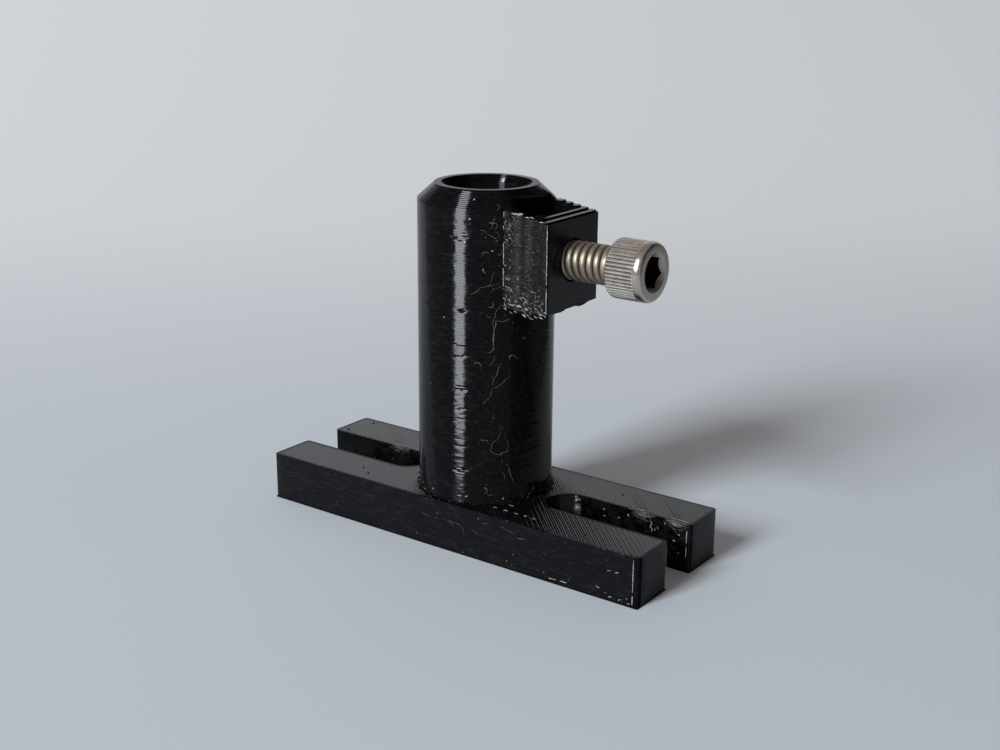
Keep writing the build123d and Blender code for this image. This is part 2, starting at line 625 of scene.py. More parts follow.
set_inputs(tree, shader, {
    "Base Color": blend(tree, pale_share, "#09090b", "#686964"),
    "IOR": pla_ior,
    "Specular IOR Level": 0.22,
    "Roughness": 0.36,
    "Normal": bump(tree, streaks, 0.06, bump(tree, noise(tree, where, 0.8), 0.06)),
})

# %% Slot walls
# The slots' straight walls rub on screws. They are rough, take hardly any shine, and are grazed grey
# in patches.
pla_slot, tree, shader, where = new_material("black PLA, rubbed slot wall")
rub = noise(tree, by_layer(tree, where), 0.5, detail=4.0, rough=0.7)
grazed = between(tree, noise(tree, drawn_out(tree, where, 0.6), 1.1, detail=6.0, rough=0.72), 0.48, 0.72)
set_inputs(tree, shader, {
    "Base Color": blend(tree, grazed, "#030304", "#181716"),
    "Specular IOR Level": 0.08,
    "Roughness": ranged(tree, rub, 0.22, 0.45, start=0.3, end=0.7),
    "Normal": bump(tree, grazed, 0.08, bump(tree, rub, 0.02)),
})

# %% Top skin
# Ironed by the nozzle and then handled: a soft sheen that greys where light grazes it.
pla_top, tree, shader, where = new_material("black PLA, top skin")
wear = noise(tree, where, 4.0, detail=5.0, rough=0.6)
set_inputs(tree, shader, {
    "Base Color": linear("#0b0b0d"),
    "IOR": pla_ior,
    "Specular IOR Level": 0.55,
    "Roughness": ranged(tree, wear, 0.13, 0.24, start=0.3, end=0.7),
    "Normal": bump(tree, noise(tree, where, 0.25, detail=4.0), 0.004),
})

# %% Seats under screw heads
# Crushed plastic goes dull, and grey in patches.
pla_seat, tree, shader, where = new_material("black PLA, crushed pale by a screw head")
crushed = between(tree, noise(tree, where, 0.5, detail=4.0, rough=0.7), 0.35, 0.65)
set_inputs(tree, shader, {
    "Base Color": blend(tree, crushed, "#141614", "#373c36"),
    "Specular IOR Level": 0.35,
    "Roughness": 0.46,
    "Normal": bump(tree, noise(tree, where, 0.2), 0.01),
})

# %% Strings and crumbs
# Drawn-out plastic, a few hundredths of a millimetre thick where it is a string. Its pale grey is
# partly the colour that stretched plastic turns, and partly a painted glint for the light that such
# thin strings catch.
pla_string_and_glints, tree, shader, where = new_material("PLA strings, drawn out thin, pale as painted glints")
stretched = between(tree, noise(tree, where, 1.2), 0.35, 0.65)
set_inputs(tree, shader, {"Base Color": blend(tree, stretched, "#5c5c5a", "#b9b8b2"), "Roughness": 0.38})

# %% Torn edges
# Where an edge was torn rather than drawn, it is full of tiny cracks and scatters almost all light.
# Down the corners and the seam, the same pale colour is a painted highlight.
pla_torn_and_glint, tree, shader, where = new_material("PLA, white where it tore, and painted highlights")
cracked = between(tree, noise(tree, where, 0.5), 0.38, 0.6)
set_inputs(tree, shader, {"Base Color": blend(tree, cracked, "#8d8d89", "#e9e8e2"), "Roughness": 0.5})

# %% [markdown]
# ## The printed body
#
# Filament is laid down in layers a quarter of a millimetre high. Each layer bulges a little and
# leaves a groove where it meets the next, so every wall is a stack of rounded ridges. That is what
# gives print its silky bands: a ridge always has some slope that faces the window.
#
# So a wall is made from two rings for each layer, one at its crown and one in the groove. The crown
# is smooth shaded and the groove is a sharp edge. No layer is laid quite like the last, so each
# ring wanders a few microns along its way.

# %% Outlines with rounded corners
arc_step = math.radians(15)
guard = 0.12
shortest_run = 0.001


def left_of(way):
    """A way turned a quarter to the left."""
    return np.array((-way[1], way[0]))


def rounded_outline(corners, pieces):
    """Points round a polygon, anticlockwise, and the way out at each of them.

    A corner is (x, y, radius), and pieces says how finely the run after each corner is divided. A
    guard point close to each end of a run keeps the run flat where the corner's shading starts.
    """
    places = [np.array(corner[:2], float) for corner in corners]
    starts, arcs = [], []
    for index, (_, _, radius) in enumerate(corners):
        here = places[index]
        way_in = here - places[index - 1]
        way_out = places[(index + 1) % len(corners)] - here
        way_in = way_in / np.linalg.norm(way_in)
        way_out = way_out / np.linalg.norm(way_out)
        turn = math.atan2(way_in[0] * way_out[1] - way_in[1] * way_out[0], way_in @ way_out)
        side = math.copysign(1, turn)
        start = here - way_in * radius * math.tan(abs(turn) / 2)
        centre = start + side * radius * left_of(way_in)
        steps = max(1, round(abs(turn) / arc_step))
        arc = []
        for step in range(steps + 1):
            angle = turn * step / steps
            spin = np.array(((math.cos(angle), -math.sin(angle)), (math.sin(angle), math.cos(angle))))
            out = spin @ (-side * left_of(way_in))
            arc.append((centre + radius * out, side * out))
        arcs.append(arc)
        starts.append(start)
    points, outward = [], []
    for index, arc in enumerate(arcs):
        run_start, out = arc[-1]
        run = starts[(index + 1) % len(arcs)] - run_start
        if np.linalg.norm(run) < shortest_run:
            arc = arc[:-1]
        for point, way in arc:
            points.append(point)
            outward.append(way)
        shares = [piece / pieces[index] for piece in range(1, pieces[index])]
        if shares:
            edge = guard / np.linalg.norm(run)
            shares = [edge, *shares, 1 - edge]
        for share in shares:
            points.append(run_start + run * share)
            outward.append(out)
    return np.array(points), np.array(outward)


def circle_outline(radius, count):
    """Points round a circle about the tube's axis, and the way out at each."""
    out = ways_out(even_angles(count))
    return out * radius, out


# %% How a layer strays
# The crown of a layer is low: each bead is laid on the one below and is squeezed out over it.
groove_depth = 0.035
deep_groove = 0.074
crown_share = 0.25
drift_share = 0.55


def wander(count, layers, size, reach, random):
    """How far each layer strays along its way. It is smooth over about `reach` points, keeps some
    of the layer below, and never comes out past the drawing's wall."""
    kept = np.zeros(count)
    fade = np.exp(-((np.fft.rfftfreq(count) * reach * 2) ** 2))
    rows = []
    for _ in range(layers):
        fresh = np.fft.irfft(np.fft.rfft(random.normal(size=count)) * fade, count)
        fresh = fresh / (fresh.std() + 1e-9)
        kept = kept * drift_share + fresh * math.sqrt(1 - drift_share**2)
        rows.append(kept)
    return np.clip(np.array(rows) * size + 2 * size, 0, 4.5 * size)


def glint_groove(degrees, glint, width):
    """Grooves that are deeper within about `width` degrees of the place that mirrors the window."""
    nearness = np.exp(-(((degrees - glint) / width) ** 2))
    return groove_depth + (deep_groove - groove_depth) * nearness


# %% A stack of layers
foot_groove_share = 0.3
top_groove_share = 0.6
least_stair = 0.02


def printed_wall(name, outline_of, bottom, top, stray, reach, seed, inwards=1, gaps=(), groove=groove_depth):
    """A closed stack of layers. outline_of(layer, middle height) gives that layer's outline.

    inwards is 1 for a wall, and -1 for a tool that cuts the inner side of one. A gap is a short run
    of one layer where too little plastic came out: (x, y, height, reach along the wall, depth).
    """
    random = np.random.default_rng(seed)
    layers = round((top - bottom) / layer_height)
    heights = np.linspace(bottom, top, layers + 1)
    outlines = [outline_of(i, (heights[i] + heights[i + 1]) / 2) for i in range(layers)]
    strays = wander(len(outlines[0][0]), layers, stray, reach, random)
    rings = []

    def ring(layer, height, inset):
        points, outward = outlines[layer]
        rings.append(at_height(points - outward * inwards * inset[:, None], height))

    for x, y, height, span, depth in gaps:
        layer = int((height - bottom) / layer_height)
        away = np.linalg.norm(outlines[layer][0] - np.array((x, y)), axis=1)
        strays[layer] += depth * np.exp(-((away / span) ** 4))

    for layer in range(layers):
        inset = strays[layer]
        if layer == 0:
            ring(layer, heights[0], inset + groove * foot_groove_share)
        ring(layer, heights[layer] + layer_height * crown_share, inset)
        if layer + 1 < layers:
            shared = (inset + strays[layer + 1]) / 2 + groove
            ring(layer, heights[layer + 1], shared)
            if np.abs(outlines[layer + 1][0] - outlines[layer][0]).max() > least_stair:
                ring(layer + 1, heights[layer + 1], shared)
        else:
            ring(layer, heights[layer + 1], inset + groove * top_groove_share)
    return stack(name, rings, material=pla_wall)


# %% [markdown]
# ### Base, tube and clamp block
#
# The base is a bar with a slot in from each end. Its first layer is squeezed against the printer's
# plate and spreads, most of all at the corners, so the walls above it stand in a little. The tube's
# chamfer and the block's top are stairs one layer high, because a print can't make a slope any
# other way.

# %% The base
# A groove is deep where the outline turns and shallow along the flat runs, so that a flat wall
# mirrors evenly.
first_layer_spread = 0.06
first_corner_radius = 0.12
bar_end = base_length / 2
bar_side = base_width / 2
slot_half = slot_width / 2
slot_tip = slot_inner_x - slot_half
bar_pieces = [4, 10, 1, 10, 4, 32] * 2
flat_groove = 0.02
least_turn = 0.01


def bar_outline(inset, sharp=False):
    """The base's outline, with its corners rounded and each slot's inner end a half circle."""
    end, side, slot, tip = bar_end - inset, bar_side - inset, slot_half + inset, slot_tip - inset
    edge, facing, inner = base_corner_radius, facing_corner_radius, inner_corner_radius
    if sharp:
        edge = facing = inner = first_corner_radius
    corners = [
        (end, -side, facing), (end, -slot, edge), (tip, -slot, slot), (tip, slot, slot),
        (end, slot, inner), (end, side, edge), (-end, side, edge), (-end, slot, edge),
        (-tip, slot, slot), (-tip, -slot, slot), (-end, -slot, edge), (-end, -side, edge),
    ]
    return rounded_outline(corners, bar_pieces)


def base_layer(layer, height):
    """The first layer has spread at its corners. All the others stand in a little."""
    return bar_outline(0.0, sharp=True) if layer == 0 else bar_outline(first_layer_spread)


_, base_out = bar_outline(0.0)
turns_at = abs(base_out - np.roll(base_out, 1, axis=0)).max(axis=1) > least_turn
base_groove = np.where(turns_at | np.roll(turns_at, -1), deep_groove, flat_groove)
body = printed_wall(
    "holder_print", base_layer, 0.0, base_height, stray=0.006, reach=3, seed=3, groove=base_groove
)
print("base:", len(body.data.polygons), "faces")

# %% The tube
# Its points are closer together on the side of the window, where the reflection shows every fault.
chamfer_start = holder_height - rim_chamfer_height
window_side = np.arange(-112, -36, 2.0)
other_sides = np.arange(-36, 248, 5.5)
tube_degrees = np.concatenate((window_side, other_sides))
tube_out = ways_out(np.radians(tube_degrees))


def on_tube(degrees, height, lift=0.0):
    """A point on the tube's wall, or `lift` outside it."""
    angle = math.radians(degrees)
    return (tube_radius + lift) * math.cos(angle), (tube_radius + lift) * math.sin(angle), height


def tube_layer(layer, height):
    """The tube's outline, which goes in along the chamfer."""
    inset = max(0.0, height - chamfer_start) * rim_chamfer_width / rim_chamfer_height
    return tube_out * (tube_radius - inset), tube_out


# %% Faults in the tube's wall
# Now and then a bubble or a slip starves a layer for a few millimetres. The bad heights come in
# bursts, and a burst spreads over two or three layers. Small faults are everywhere.
fault_heights = (53.3, 52.5, 41.3, 35.5, 33.8, 28.3, 24.6, 18.5, 14.2, 9.9)
faults_in_burst = 4
burst_angle, burst_spread = -76, 6
small_faults = 110
random = np.random.default_rng(17)
tube_gaps = []
for height in fault_heights:
    for _ in range(faults_in_burst):
        x, y, _ = on_tube(random.normal(burst_angle, burst_spread), height)
        z = height + random.uniform(-0.4, 0.4)
        tube_gaps.append((x, y, z, random.uniform(0.15, 0.6), random.uniform(0.04, 0.1)))
for _ in range(small_faults):
    x, y, _ = on_tube(random.uniform(0, 360), 0)
    tube_gaps.append((x, y, random.uniform(9.5, 56.5), random.uniform(0.3, 1.3), random.uniform(0.01, 0.045)))

# %% The tube's layers
# The tube starts a layer or two down inside the base, at a height where a layer of it would start.
# Its grooves are deepest where it mirrors the window as a bright strip.
strip_angle, strip_reach = -75, 26
tube_start = math.floor((base_height - 2 * layer_height) / layer_height) * layer_height
tube = printed_wall(
    "tube", tube_layer, tube_start, holder_height, stray=0.0065, reach=1.5, seed=11, gaps=tube_gaps,
    groove=glint_groove(tube_degrees, strip_angle, strip_reach),
)
print("tube:", len(tube.data.polygons), "faces")

# %% The clamp block
# Its sides were printed as short runs beside the pocket, so their layers stray much further.
block_pieces = [30, 18, 26, 1]
block_top = block_front_z + block_step_count * layer_height
side_stray, front_stray = 0.022, 0.005
side_groove = 0.05


def block_outline(front):
    """The block from the tube's axis to its front, with the two front corners rounded."""
    corners = [
        (0.0, -block_half, 0.0), (front, -block_half, block_corner_radius),
        (front, block_half, block_corner_radius), (0.0, block_half, 0.0),
    ]
    return rounded_outline(corners, block_pieces)


def block_layer(layer, height):
    """The block's outline at a height: its front goes back by a step at each layer near the top."""
    if height < block_front_z:
        return block_outline(block_front_x)
    steps_up = int((height - block_front_z) / layer_height)
    return block_outline(block_front_x - block_front_step - steps_up * block_step)


_, block_out = block_outline(block_front_x)
on_side = abs(block_out[:, 1]) > 0.9
block = printed_wall(
    "block", block_layer, block_floor_z, block_top,
    stray=np.where(on_side, side_stray, front_stray), reach=0.8, seed=5,
    groove=np.where(on_side, side_groove, flat_groove),
)
print("block:", len(block.data.polygons), "faces")

# %% [markdown]
# ### The top skin of the base
#
# The last layer of the base is drawn as one line round its edge, filled with straight lines at 45
# degrees, 0.38 mm apart. Lines are laid there and back, so they come in pairs, with a deeper groove
# between two pairs. The space over one pair is modelled as a long cell, and Geometry Nodes repeat
# it across the base. The result is cut from the top, inside the edge line.

# %% One groove
line_pair_pitch = 0.76
line_groove_depth = 0.11
edge_line_width = 0.45
line_angle = math.radians(-45)
line_count = int((base_length + base_width) * math.cos(math.radians(45)) / line_pair_pitch) + 2

cell_half_length = base_length / 2
cell_height = 0.3
# A cell's underside, as (across in pitches, up in groove depths)
cell_under = [
    (-0.5, 0.0), (-0.4, -0.05), (-0.32, -0.3), (-0.25, -0.72), (-0.18, -0.3), (-0.1, -0.05),
    (0.0, 0.0), (0.1, -0.06), (0.17, -0.38), (0.25, -1.0), (0.33, -0.38), (0.4, -0.06), (0.5, 0.0),
]


def groove_cell():
    """The space over two lines, laid there and back, with a shallow groove inside the pair and a
    deep one after it. Its long sides are open, so that cells side by side weld into one comb."""
    section = [(across * line_pair_pitch, up * line_groove_depth) for across, up in cell_under]
    section += [(line_pair_pitch / 2, cell_height), (-line_pair_pitch / 2, cell_height)]
    count = len(section)
    vertices = [(end, y, z) for end in (-cell_half_length, cell_half_length) for y, z in section]
    faces = [(step, step + 1, count + step + 1, count + step) for step in range(len(cell_under) - 1)]
    faces.append((count - 2, count - 1, 2 * count - 1, 2 * count - 2))
    faces += [tuple(range(count - 1, -1, -1)), tuple(range(count, 2 * count))]
    return new_object("groove_cell", vertices, faces)


one_groove = groove_cell()

# %% Geometry Nodes: repeat along a line
tree, given, result = new_tree(
    "Repeat along a line",
    {"Count": "Int", "Pitch": "Float", "Turn": "Float", "Height": "Float", "Material": "Material"},
)
spaces = maths(tree, "SUBTRACT", given.outputs["Count"], 1.0)
length = maths(tree, "MULTIPLY", spaces, given.outputs["Pitch"])
line = add_node(tree, "GeometryNodeMeshLine", {
    "Count": given.outputs["Count"],
    "Start Location": xyz(tree, Y=maths(tree, "MULTIPLY", length, -0.5)),
    "Offset": xyz(tree, Y=given.outputs["Pitch"]),
})
welded = real_copies(tree, line.outputs[0], given.outputs["Geometry"], weld=0.001)
end_tree(
    tree, given, result, welded,
    Translation=xyz(tree, Z=given.outputs["Height"]), Rotation=xyz(tree, Z=given.outputs["Turn"]),
)

# %% The comb of grooves
# The filament ran thin beside the tube's foot, so that the grooves are deeper there.
thin_along, thin_reach = 8, 13
common_depth, thin_depth = 0.5, 1.0

comb = run_tree(
    tree, one_groove,
    {
        "Count": line_count, "Pitch": line_pair_pitch * MM, "Turn": line_angle, "Height": base_height * MM,
        "Material": pla_top,
    },
    "line_grooves",
)
bpy.data.meshes.remove(one_groove.data)
work = bmesh.new()
work.from_mesh(comb.data)
bmesh.ops.holes_fill(work, edges=[edge for edge in work.edges if edge.is_boundary])
bmesh.ops.recalc_face_normals(work, faces=work.faces)
print("open edges of the comb:", sum(edge.is_boundary for edge in work.edges))
for vertex in work.verts:
    up = vertex.co.z - base_height * MM
    along = (vertex.co.x + vertex.co.y) / MM
    thin = math.exp(-(((along - thin_along) / thin_reach) ** 2))
    if up < 0:
        vertex.co.z = base_height * MM + up * (common_depth + thin_depth * thin)
work.to_mesh(comb.data)
work.free()

# %% Cut the skin
points, _ = bar_outline(first_layer_spread + edge_line_width)
inside = [at_height(points, z) for z in (base_height - 1, base_height + 1)]
combine(comb, stack("inside_edge_line", inside), "INTERSECT")
combine(body, comb, "DIFFERENCE")
print("base with its top skin:", len(body.data.polygons), "faces")

# %% [markdown]
# ### Where screw heads have bitten
#
# The slots have held cap screws in three places. Each head was turned down hard on the far side, and
# crushed the slot's edge there into a steep round slope, with a few circular scratches in it.

# %% Seats of the screw heads
seat_places = (29.3, 35.5, -22.2)
seat_drops = (0.95, 1.1, 0.7)
seat_radius = 4.5
seat_steepness = 1.3
seat_scratches = 7
seat_scratch_pitch = 0.2
seat_scratch_depth = 0.06
seat_arc = np.radians(np.linspace(12, 168, 61))


def seat_depth(radius, drop):
    """How deep the crushed slope is at a distance from its screw's axis. It is `drop` at the wall."""
    return drop * max(0.0, (seat_radius - radius) / (seat_radius - slot_half)) ** seat_steepness


def seat_tool(place, drop):
    """Part of a drum whose underside is the crushed slope, ridged, so that it leaves scratches."""
    profile = []
    for ridge in range(seat_scratches):
        radius = seat_radius - (seat_scratches - ridge) * seat_scratch_pitch
        scratch = seat_scratch_depth if ridge % 2 else 0.0
        profile.append((radius, base_height - seat_depth(radius, drop) - scratch))
    profile += [(seat_radius, base_height - 0.02), (seat_radius + 0.05, base_height + 1)]
    out = ways_out(seat_arc)
    return stack("seat_tool", [at_height(r * out + (place, 0), z) for r, z in profile], material=pla_seat)


for place, drop in zip(seat_places, seat_drops):
    combine(body, seat_tool(place, drop), "DIFFERENCE")
print("base with its seats:", len(body.data.polygons), "faces")

# %% [markdown]
# ### Joining and cutting
#
# The three walls become one closed body, and then the bore, the nut's pocket and the screw's hole
# are cut. The bore is layered as far down as can be seen into it.

# %% The cutting tools
# The bore's grooves are deepest where it mirrors the window.
bore_segments = 60
seen_depth = 20.0
bore_glint, bore_glint_reach = 104, 9
overlap = 0.1


def bore_layer(layer, height):
    """The bore's outline, which opens out at the mouth."""
    flare = max(0.0, min(height, holder_height) - (holder_height - lead_in))
    return circle_outline(bore_radius + flare, bore_segments)


def plain_round(radius, count, bottom, top):
    """A plain cylinder about the tube's axis."""
    points, _ = circle_outline(radius, count)
    return stack("plain_round", [at_height(points, z) for z in (bottom, top)])


def through_x(section, start, end):
    """A bar along X whose section is given as (y, z) points, anticlockwise seen from +X."""
    return stack("through_x", [at_x(section, x) for x in (start, end)])


def about_screw(radius, angles):
    """(y, z) points round the screw's axis."""
    return ways_out(angles) * radius + np.array((0, screw_z))


def pocket_section():
    """A hexagon's lower half, carried straight up through the top."""
    corner = pocket_half / math.cos(math.radians(30))
    return [
        (-pocket_half, holder_height + 1), (-pocket_half, screw_z - corner / 2), (0, screw_z - corner),
        (pocket_half, screw_z - corner / 2), (pocket_half, holder_height + 1),
    ]


# %% One closed body
seen_from = holder_height - seen_depth
bore = printed_wall(
    "bore", bore_layer, seen_from, holder_height + 2 * layer_height, stray=0.006, reach=2, seed=7,
    inwards=-1, groove=glint_groove(np.degrees(even_angles(bore_segments)), bore_glint, bore_glint_reach),
)
combine(body, tube, "UNION")
combine(body, block, "UNION")
combine(body, bore, "DIFFERENCE")
combine(body, plain_round(bore_radius, bore_segments, bore_floor, seen_from + overlap), "DIFFERENCE")
combine(body, through_x(pocket_section(), pocket_back_x, pocket_front_x), "DIFFERENCE")
screw_hole = through_x(about_screw(screw_hole_radius, even_angles(48)), 1.0, block_front_x + 1)
combine(body, screw_hole, "DIFFERENCE")
triangles = sum(len(face.vertices) - 2 for face in body.data.polygons)
print("printed body:", triangles, "triangles")

# %% Sharp grooves and smooth crowns
groove_turn = math.radians(-20)
crown_turn = math.radians(30)


def crisp(made):
    """Marks an edge sharp where it is a real corner or a groove, and smooth over a crown."""
    work = bmesh.new()
    work.from_mesh(made.data)
    open_edges = 0
    for edge in work.edges:
        if len(edge.link_faces) == 2:
            edge.smooth = groove_turn < edge.calc_face_angle_signed(0.0) < crown_turn
        else:
            open_edges += 1
    for face in work.faces:
        face.smooth = True
    work.to_mesh(made.data)
    work.free()
    print(made.name, "open edges:", open_edges)


crisp(body)

# %% One material gives way to another
# The wall's material covers every printed wall so far. The block's sides, the bore, the slots and
# the base's two ends get their own.


def give_material(made, material, instead_of, wanted):
    """Gives a material to the faces for which wanted(centre in mm, normal) is true."""
    made.data.materials.append(material)
    index = len(made.data.materials) - 1
    old_index = list(made.data.materials).index(instead_of)
    found = [
        face for face in made.data.polygons
        if face.material_index == old_index and wanted(face.center / MM, face.normal)
    ]
    for face in found:
        face.material_index = index
    print(material.name, "covers", len(found), "faces")


# %% Where each one goes
below_top = base_height - 0.05
before_seam = 8.5


def beside_pocket(place, normal):
    """The block's two sides, from just before they meet the tube."""
    on_side_wall = abs(place.y) > block_half - 0.3 and abs(normal.y) > 0.7
    return on_side_wall and place.x > before_seam and block_floor_z < place.z < block_top


def in_bore(place, normal):
    """The bore and its lead-in, but not the tube's rim."""
    looks_in = place.x * normal.x + place.y * normal.y < 0
    return looks_in and math.hypot(place.x, place.y) < bore_radius + lead_in + 0.1 and place.z > bore_floor


def in_slot(place, normal):
    """The straight walls of both slots, up to the rounded corners at the base's ends."""
    straight = slot_inner_x < abs(place.x) < base_length / 2 - 1.0
    return straight and abs(place.y) < slot_half + 0.3 and place.z < below_top


def in_nook(place, normal):
    """The round inner ends of both slots."""
    round_end = tube_radius < abs(place.x) <= slot_inner_x
    return round_end and abs(place.y) < slot_half + 0.1 and place.z < below_top


def at_end(place, normal):
    """The base's two flat ends."""
    return abs(normal.x) > 0.9 and abs(place.x) > base_length / 2 - 0.3 and place.z < below_top


give_material(body, pla_rough, pla_wall, beside_pocket)
give_material(body, pla_bore, pla_wall, in_bore)
give_material(body, pla_slot, pla_wall, in_slot)
give_material(body, pla_nook, pla_wall, in_nook)
give_material(body, pla_end, pla_wall, at_end)

# %% [markdown]
# ## Strings, crumbs and sagging strands
#
# Each time the nozzle lifts, it draws a hair of plastic after it. The hairs lie curled on the wall,
# most of them round the block, where the nozzle lifted most often. Crumbs collect at the tube's
# foot and along the lowest layer. Under the block, the first layer was laid over nothing, so its
# strands sag.
#
# A string is a thin tube swept along a smooth curve through a few points. The few that can be told
# apart are placed one by one. The many that can't are scattered by Geometry Nodes.

# %% Swept strings
string_sides = 5
least_thickness = 0.45
not_along_any = (0.31, 0.25, 0.92)


def smooth_path(points, pieces=4):
    """More points on a smooth curve through the given ones."""
    points = np.asarray(points, float)
    padded = np.vstack((2 * points[0] - points[1], points, 2 * points[-1] - points[-2]))
    path = []
    for before, start, end, after in zip(padded, padded[1:], padded[2:], padded[3:]):
        for step in range(pieces):
            t = step / pieces
            path.append(0.5 * (
                2 * start + (end - before) * t + (2 * before - 5 * start + 4 * end - after) * t**2
                + (3 * start - before - 3 * end + after) * t**3
            ))
    path.append(points[-1])
    return np.array(path)


def string_rings(points, radius, random):
    """Rings round a smooth path, thinner towards both ends and uneven on the way."""
    path = smooth_path(points)
    ways = np.gradient(path, axis=0)
    ways /= np.linalg.norm(ways, axis=1)[:, None] + 1e-9
    across = np.cross(ways, not_along_any)
    across /= np.linalg.norm(across, axis=1)[:, None]
    beside = np.cross(ways, across)
    middle = np.sin(math.pi * np.linspace(0, 1, len(path)))
    thickness = radius * (least_thickness + (1 - least_thickness) * middle)
    thickness = thickness * random.uniform(0.7, 1.2, len(path))
    cosines, sines = ways_out(even_angles(string_sides)).T
    round_it = cosines[None, :, None] * across[:, None] + sines[None, :, None] * beside[:, None]
    return path[:, None] + round_it * thickness[:, None, None]


def string_object(name, strings, material, seed):
    """One object from many strings. A string is (points, radius)."""
    random = np.random.default_rng(seed)
    vertices, faces = [], []
    for points, radius in strings:
        rings = string_rings(points, radius, random)
        start = len(vertices)
        vertices += rings.reshape(-1, 3).tolist()
        faces += ring_faces(len(rings), string_sides, start)
        faces.append(tuple(reversed(range(start, start + string_sides))))
        faces.append(tuple(range(len(vertices) - string_sides, len(vertices))))
    made = new_object(name, vertices, faces, material)
    made.data.shade_smooth()
    print(name, "has", len(strings), "strings,", len(faces), "faces")
    return made


# %% Strings on the tube
# Where each one runs, as (angle round the tube in degrees, height in mm).
tube_strings = [
    [(-45.8, 39.8), (-47.1, 38.2), (-47.7, 35.3), (-53.0, 34.5)],
    [(-33.6, 30.4), (-42.0, 29.0), (-48.2, 28.5), (-50.1, 27.1), (-55.9, 26.0)],
    [(-41.5, 32.8), (-44.8, 30.7), (-48.6, 28.9)],
    [(-46.3, 33.9), (-51.0, 32.3)],
    [(-41.1, 22.2), (-41.7, 20.8), (-47.2, 19.4), (-48.8, 18.6), (-47.1, 17.5), (-41.6, 17.1),
     (-35.9, 17.5), (-34.8, 18.8), (-38.2, 20.2)],
    [(-34.3, 14.9), (-32.0, 13.3), (-28.1, 11.5)],
    [(-41.5, 14.4), (-37.8, 12.6)],
    [(-58.1, 19.8), (-52.7, 19.7), (-49.9, 19.1)],
    [(-34.1, 39.9), (-45.7, 39.7), (-47.7, 38.3), (-47.7, 36.6)],
    [(-47.3, 47.7), (-50.7, 45.4)],
    [(-43.0, 45.4), (-51.4, 45.4), (-58.4, 45.1), (-66.8, 43.9)],
    [(-58.5, 54.3), (-51.6, 53.5), (-44.7, 52.4)],
    [(-48.9, 52.4), (-43.3, 53.5)],
    [(-50.0, 44.3), (-47.5, 44.9), (-44.5, 44.9), (-41.0, 45.1)],
    [(-47.0, 34.5), (-47.3, 38.5), (-46.5, 40.5), (-43.5, 41.8), (-40.5, 42.2)],
]
# Pale crumbs on the tube: partly torn plastic, partly painted glints of small blobs on the wall.
crumb_places = [(-48.8, 51.0), (-56.3, 47.9), (-66.2, 55.9), (-62.7, 59.0), (-70.4, 52.3), (-89.5, 39.8)]

random = np.random.default_rng(23)
hairs, torn_marks_and_glints = [], []
for marks in tube_strings:
    kinked = [marks[0]]
    for (turn, height), (next_turn, next_height) in zip(marks, marks[1:]):
        middle_turn = (turn + next_turn) / 2 + random.normal(0, 0.9)
        middle_height = (height + next_height) / 2 + random.normal(0, 0.18)
        kinked += [(middle_turn, middle_height), (next_turn, next_height)]
    points = [on_tube(turn, height, random.uniform(0.0, 0.16)) for turn, height in kinked]
    hairs.append((points, random.uniform(0.011, 0.021)))
for degrees, height in crumb_places:
    crumb_points = []
    for _ in range(3):
        crumb_points.append(on_tube(degrees + random.normal(0, 0.8), height + random.normal(0, 0.1), 0.05))
    torn_marks_and_glints.append((crumb_points, 0.07))
print("on the tube:", len(hairs), "strings and", len(torn_marks_and_glints), "crumbs")

# %% Torn edges
# A ragged pale bead runs down the seam between tube and block, and another down the block's near
# front corner. The corners of the base have thinner ones. On the corners the beads are painted
# highlights, where a rounded edge catches the window; on the seam they are partly blobs and partly
# painted highlight. They break off here and there.


def ragged_glint_line(x, y, low, high, radius, stray, gaps=()):
    """An upright, uneven pale bead, a painted highlight line, left out over the given heights."""
    run = []
    for z in np.arange(low, high, 0.3):
        if any(start < z < end for start, end in gaps):
            if len(run) > 2:
                torn_marks_and_glints.append((run, radius))
            run = []
        else:
            run.append((x + random.normal(0, stray), y + random.normal(0, stray * 0.5), z))
    if len(run) > 2:
        torn_marks_and_glints.append((run, radius))


seam_x = math.sqrt(tube_radius**2 - block_half**2)
near_y, far_y = -block_half, block_half
bead_sunk = 0.09
base_edge = base_width / 2 - bead_sunk
ragged_glint_line(seam_x + 0.02, near_y - 0.02, 45.2, 52.2, 0.075, 0.018, [(48.4, 48.7)])
ragged_glint_line(seam_x + 0.02, near_y - 0.02, 54.4, block_top - 0.1, 0.05, 0.03, [(55.2, 55.9)])
ragged_glint_line(block_front_x - 0.13, near_y, block_floor_z + 0.4, block_front_z, 0.072, 0.02, [(46.2, 46.5)])
ragged_glint_line(seam_x + 0.03, far_y + 0.03, block_floor_z + 1.0, block_top - 1.5, 0.06, 0.04, [(47.0, 49.5)])
ragged_glint_line(37.08, -base_edge, 0.5, 8.2, 0.062, 0.015, [(2.1, 2.5)])
ragged_glint_line(37.3, slot_half + 0.08, 2.6, 7.6, 0.06, 0.02, [(4.4, 4.7)])
ragged_glint_line(37.95, -slot_half - 0.12, 3.0, 8.0, 0.03, 0.02)
ragged_glint_line(-37.9, -base_edge + 0.12, 1.0, 8.0, 0.025, 0.02, [(3.0, 5.0)])
print("torn edges and crumbs:", len(torn_marks_and_glints))

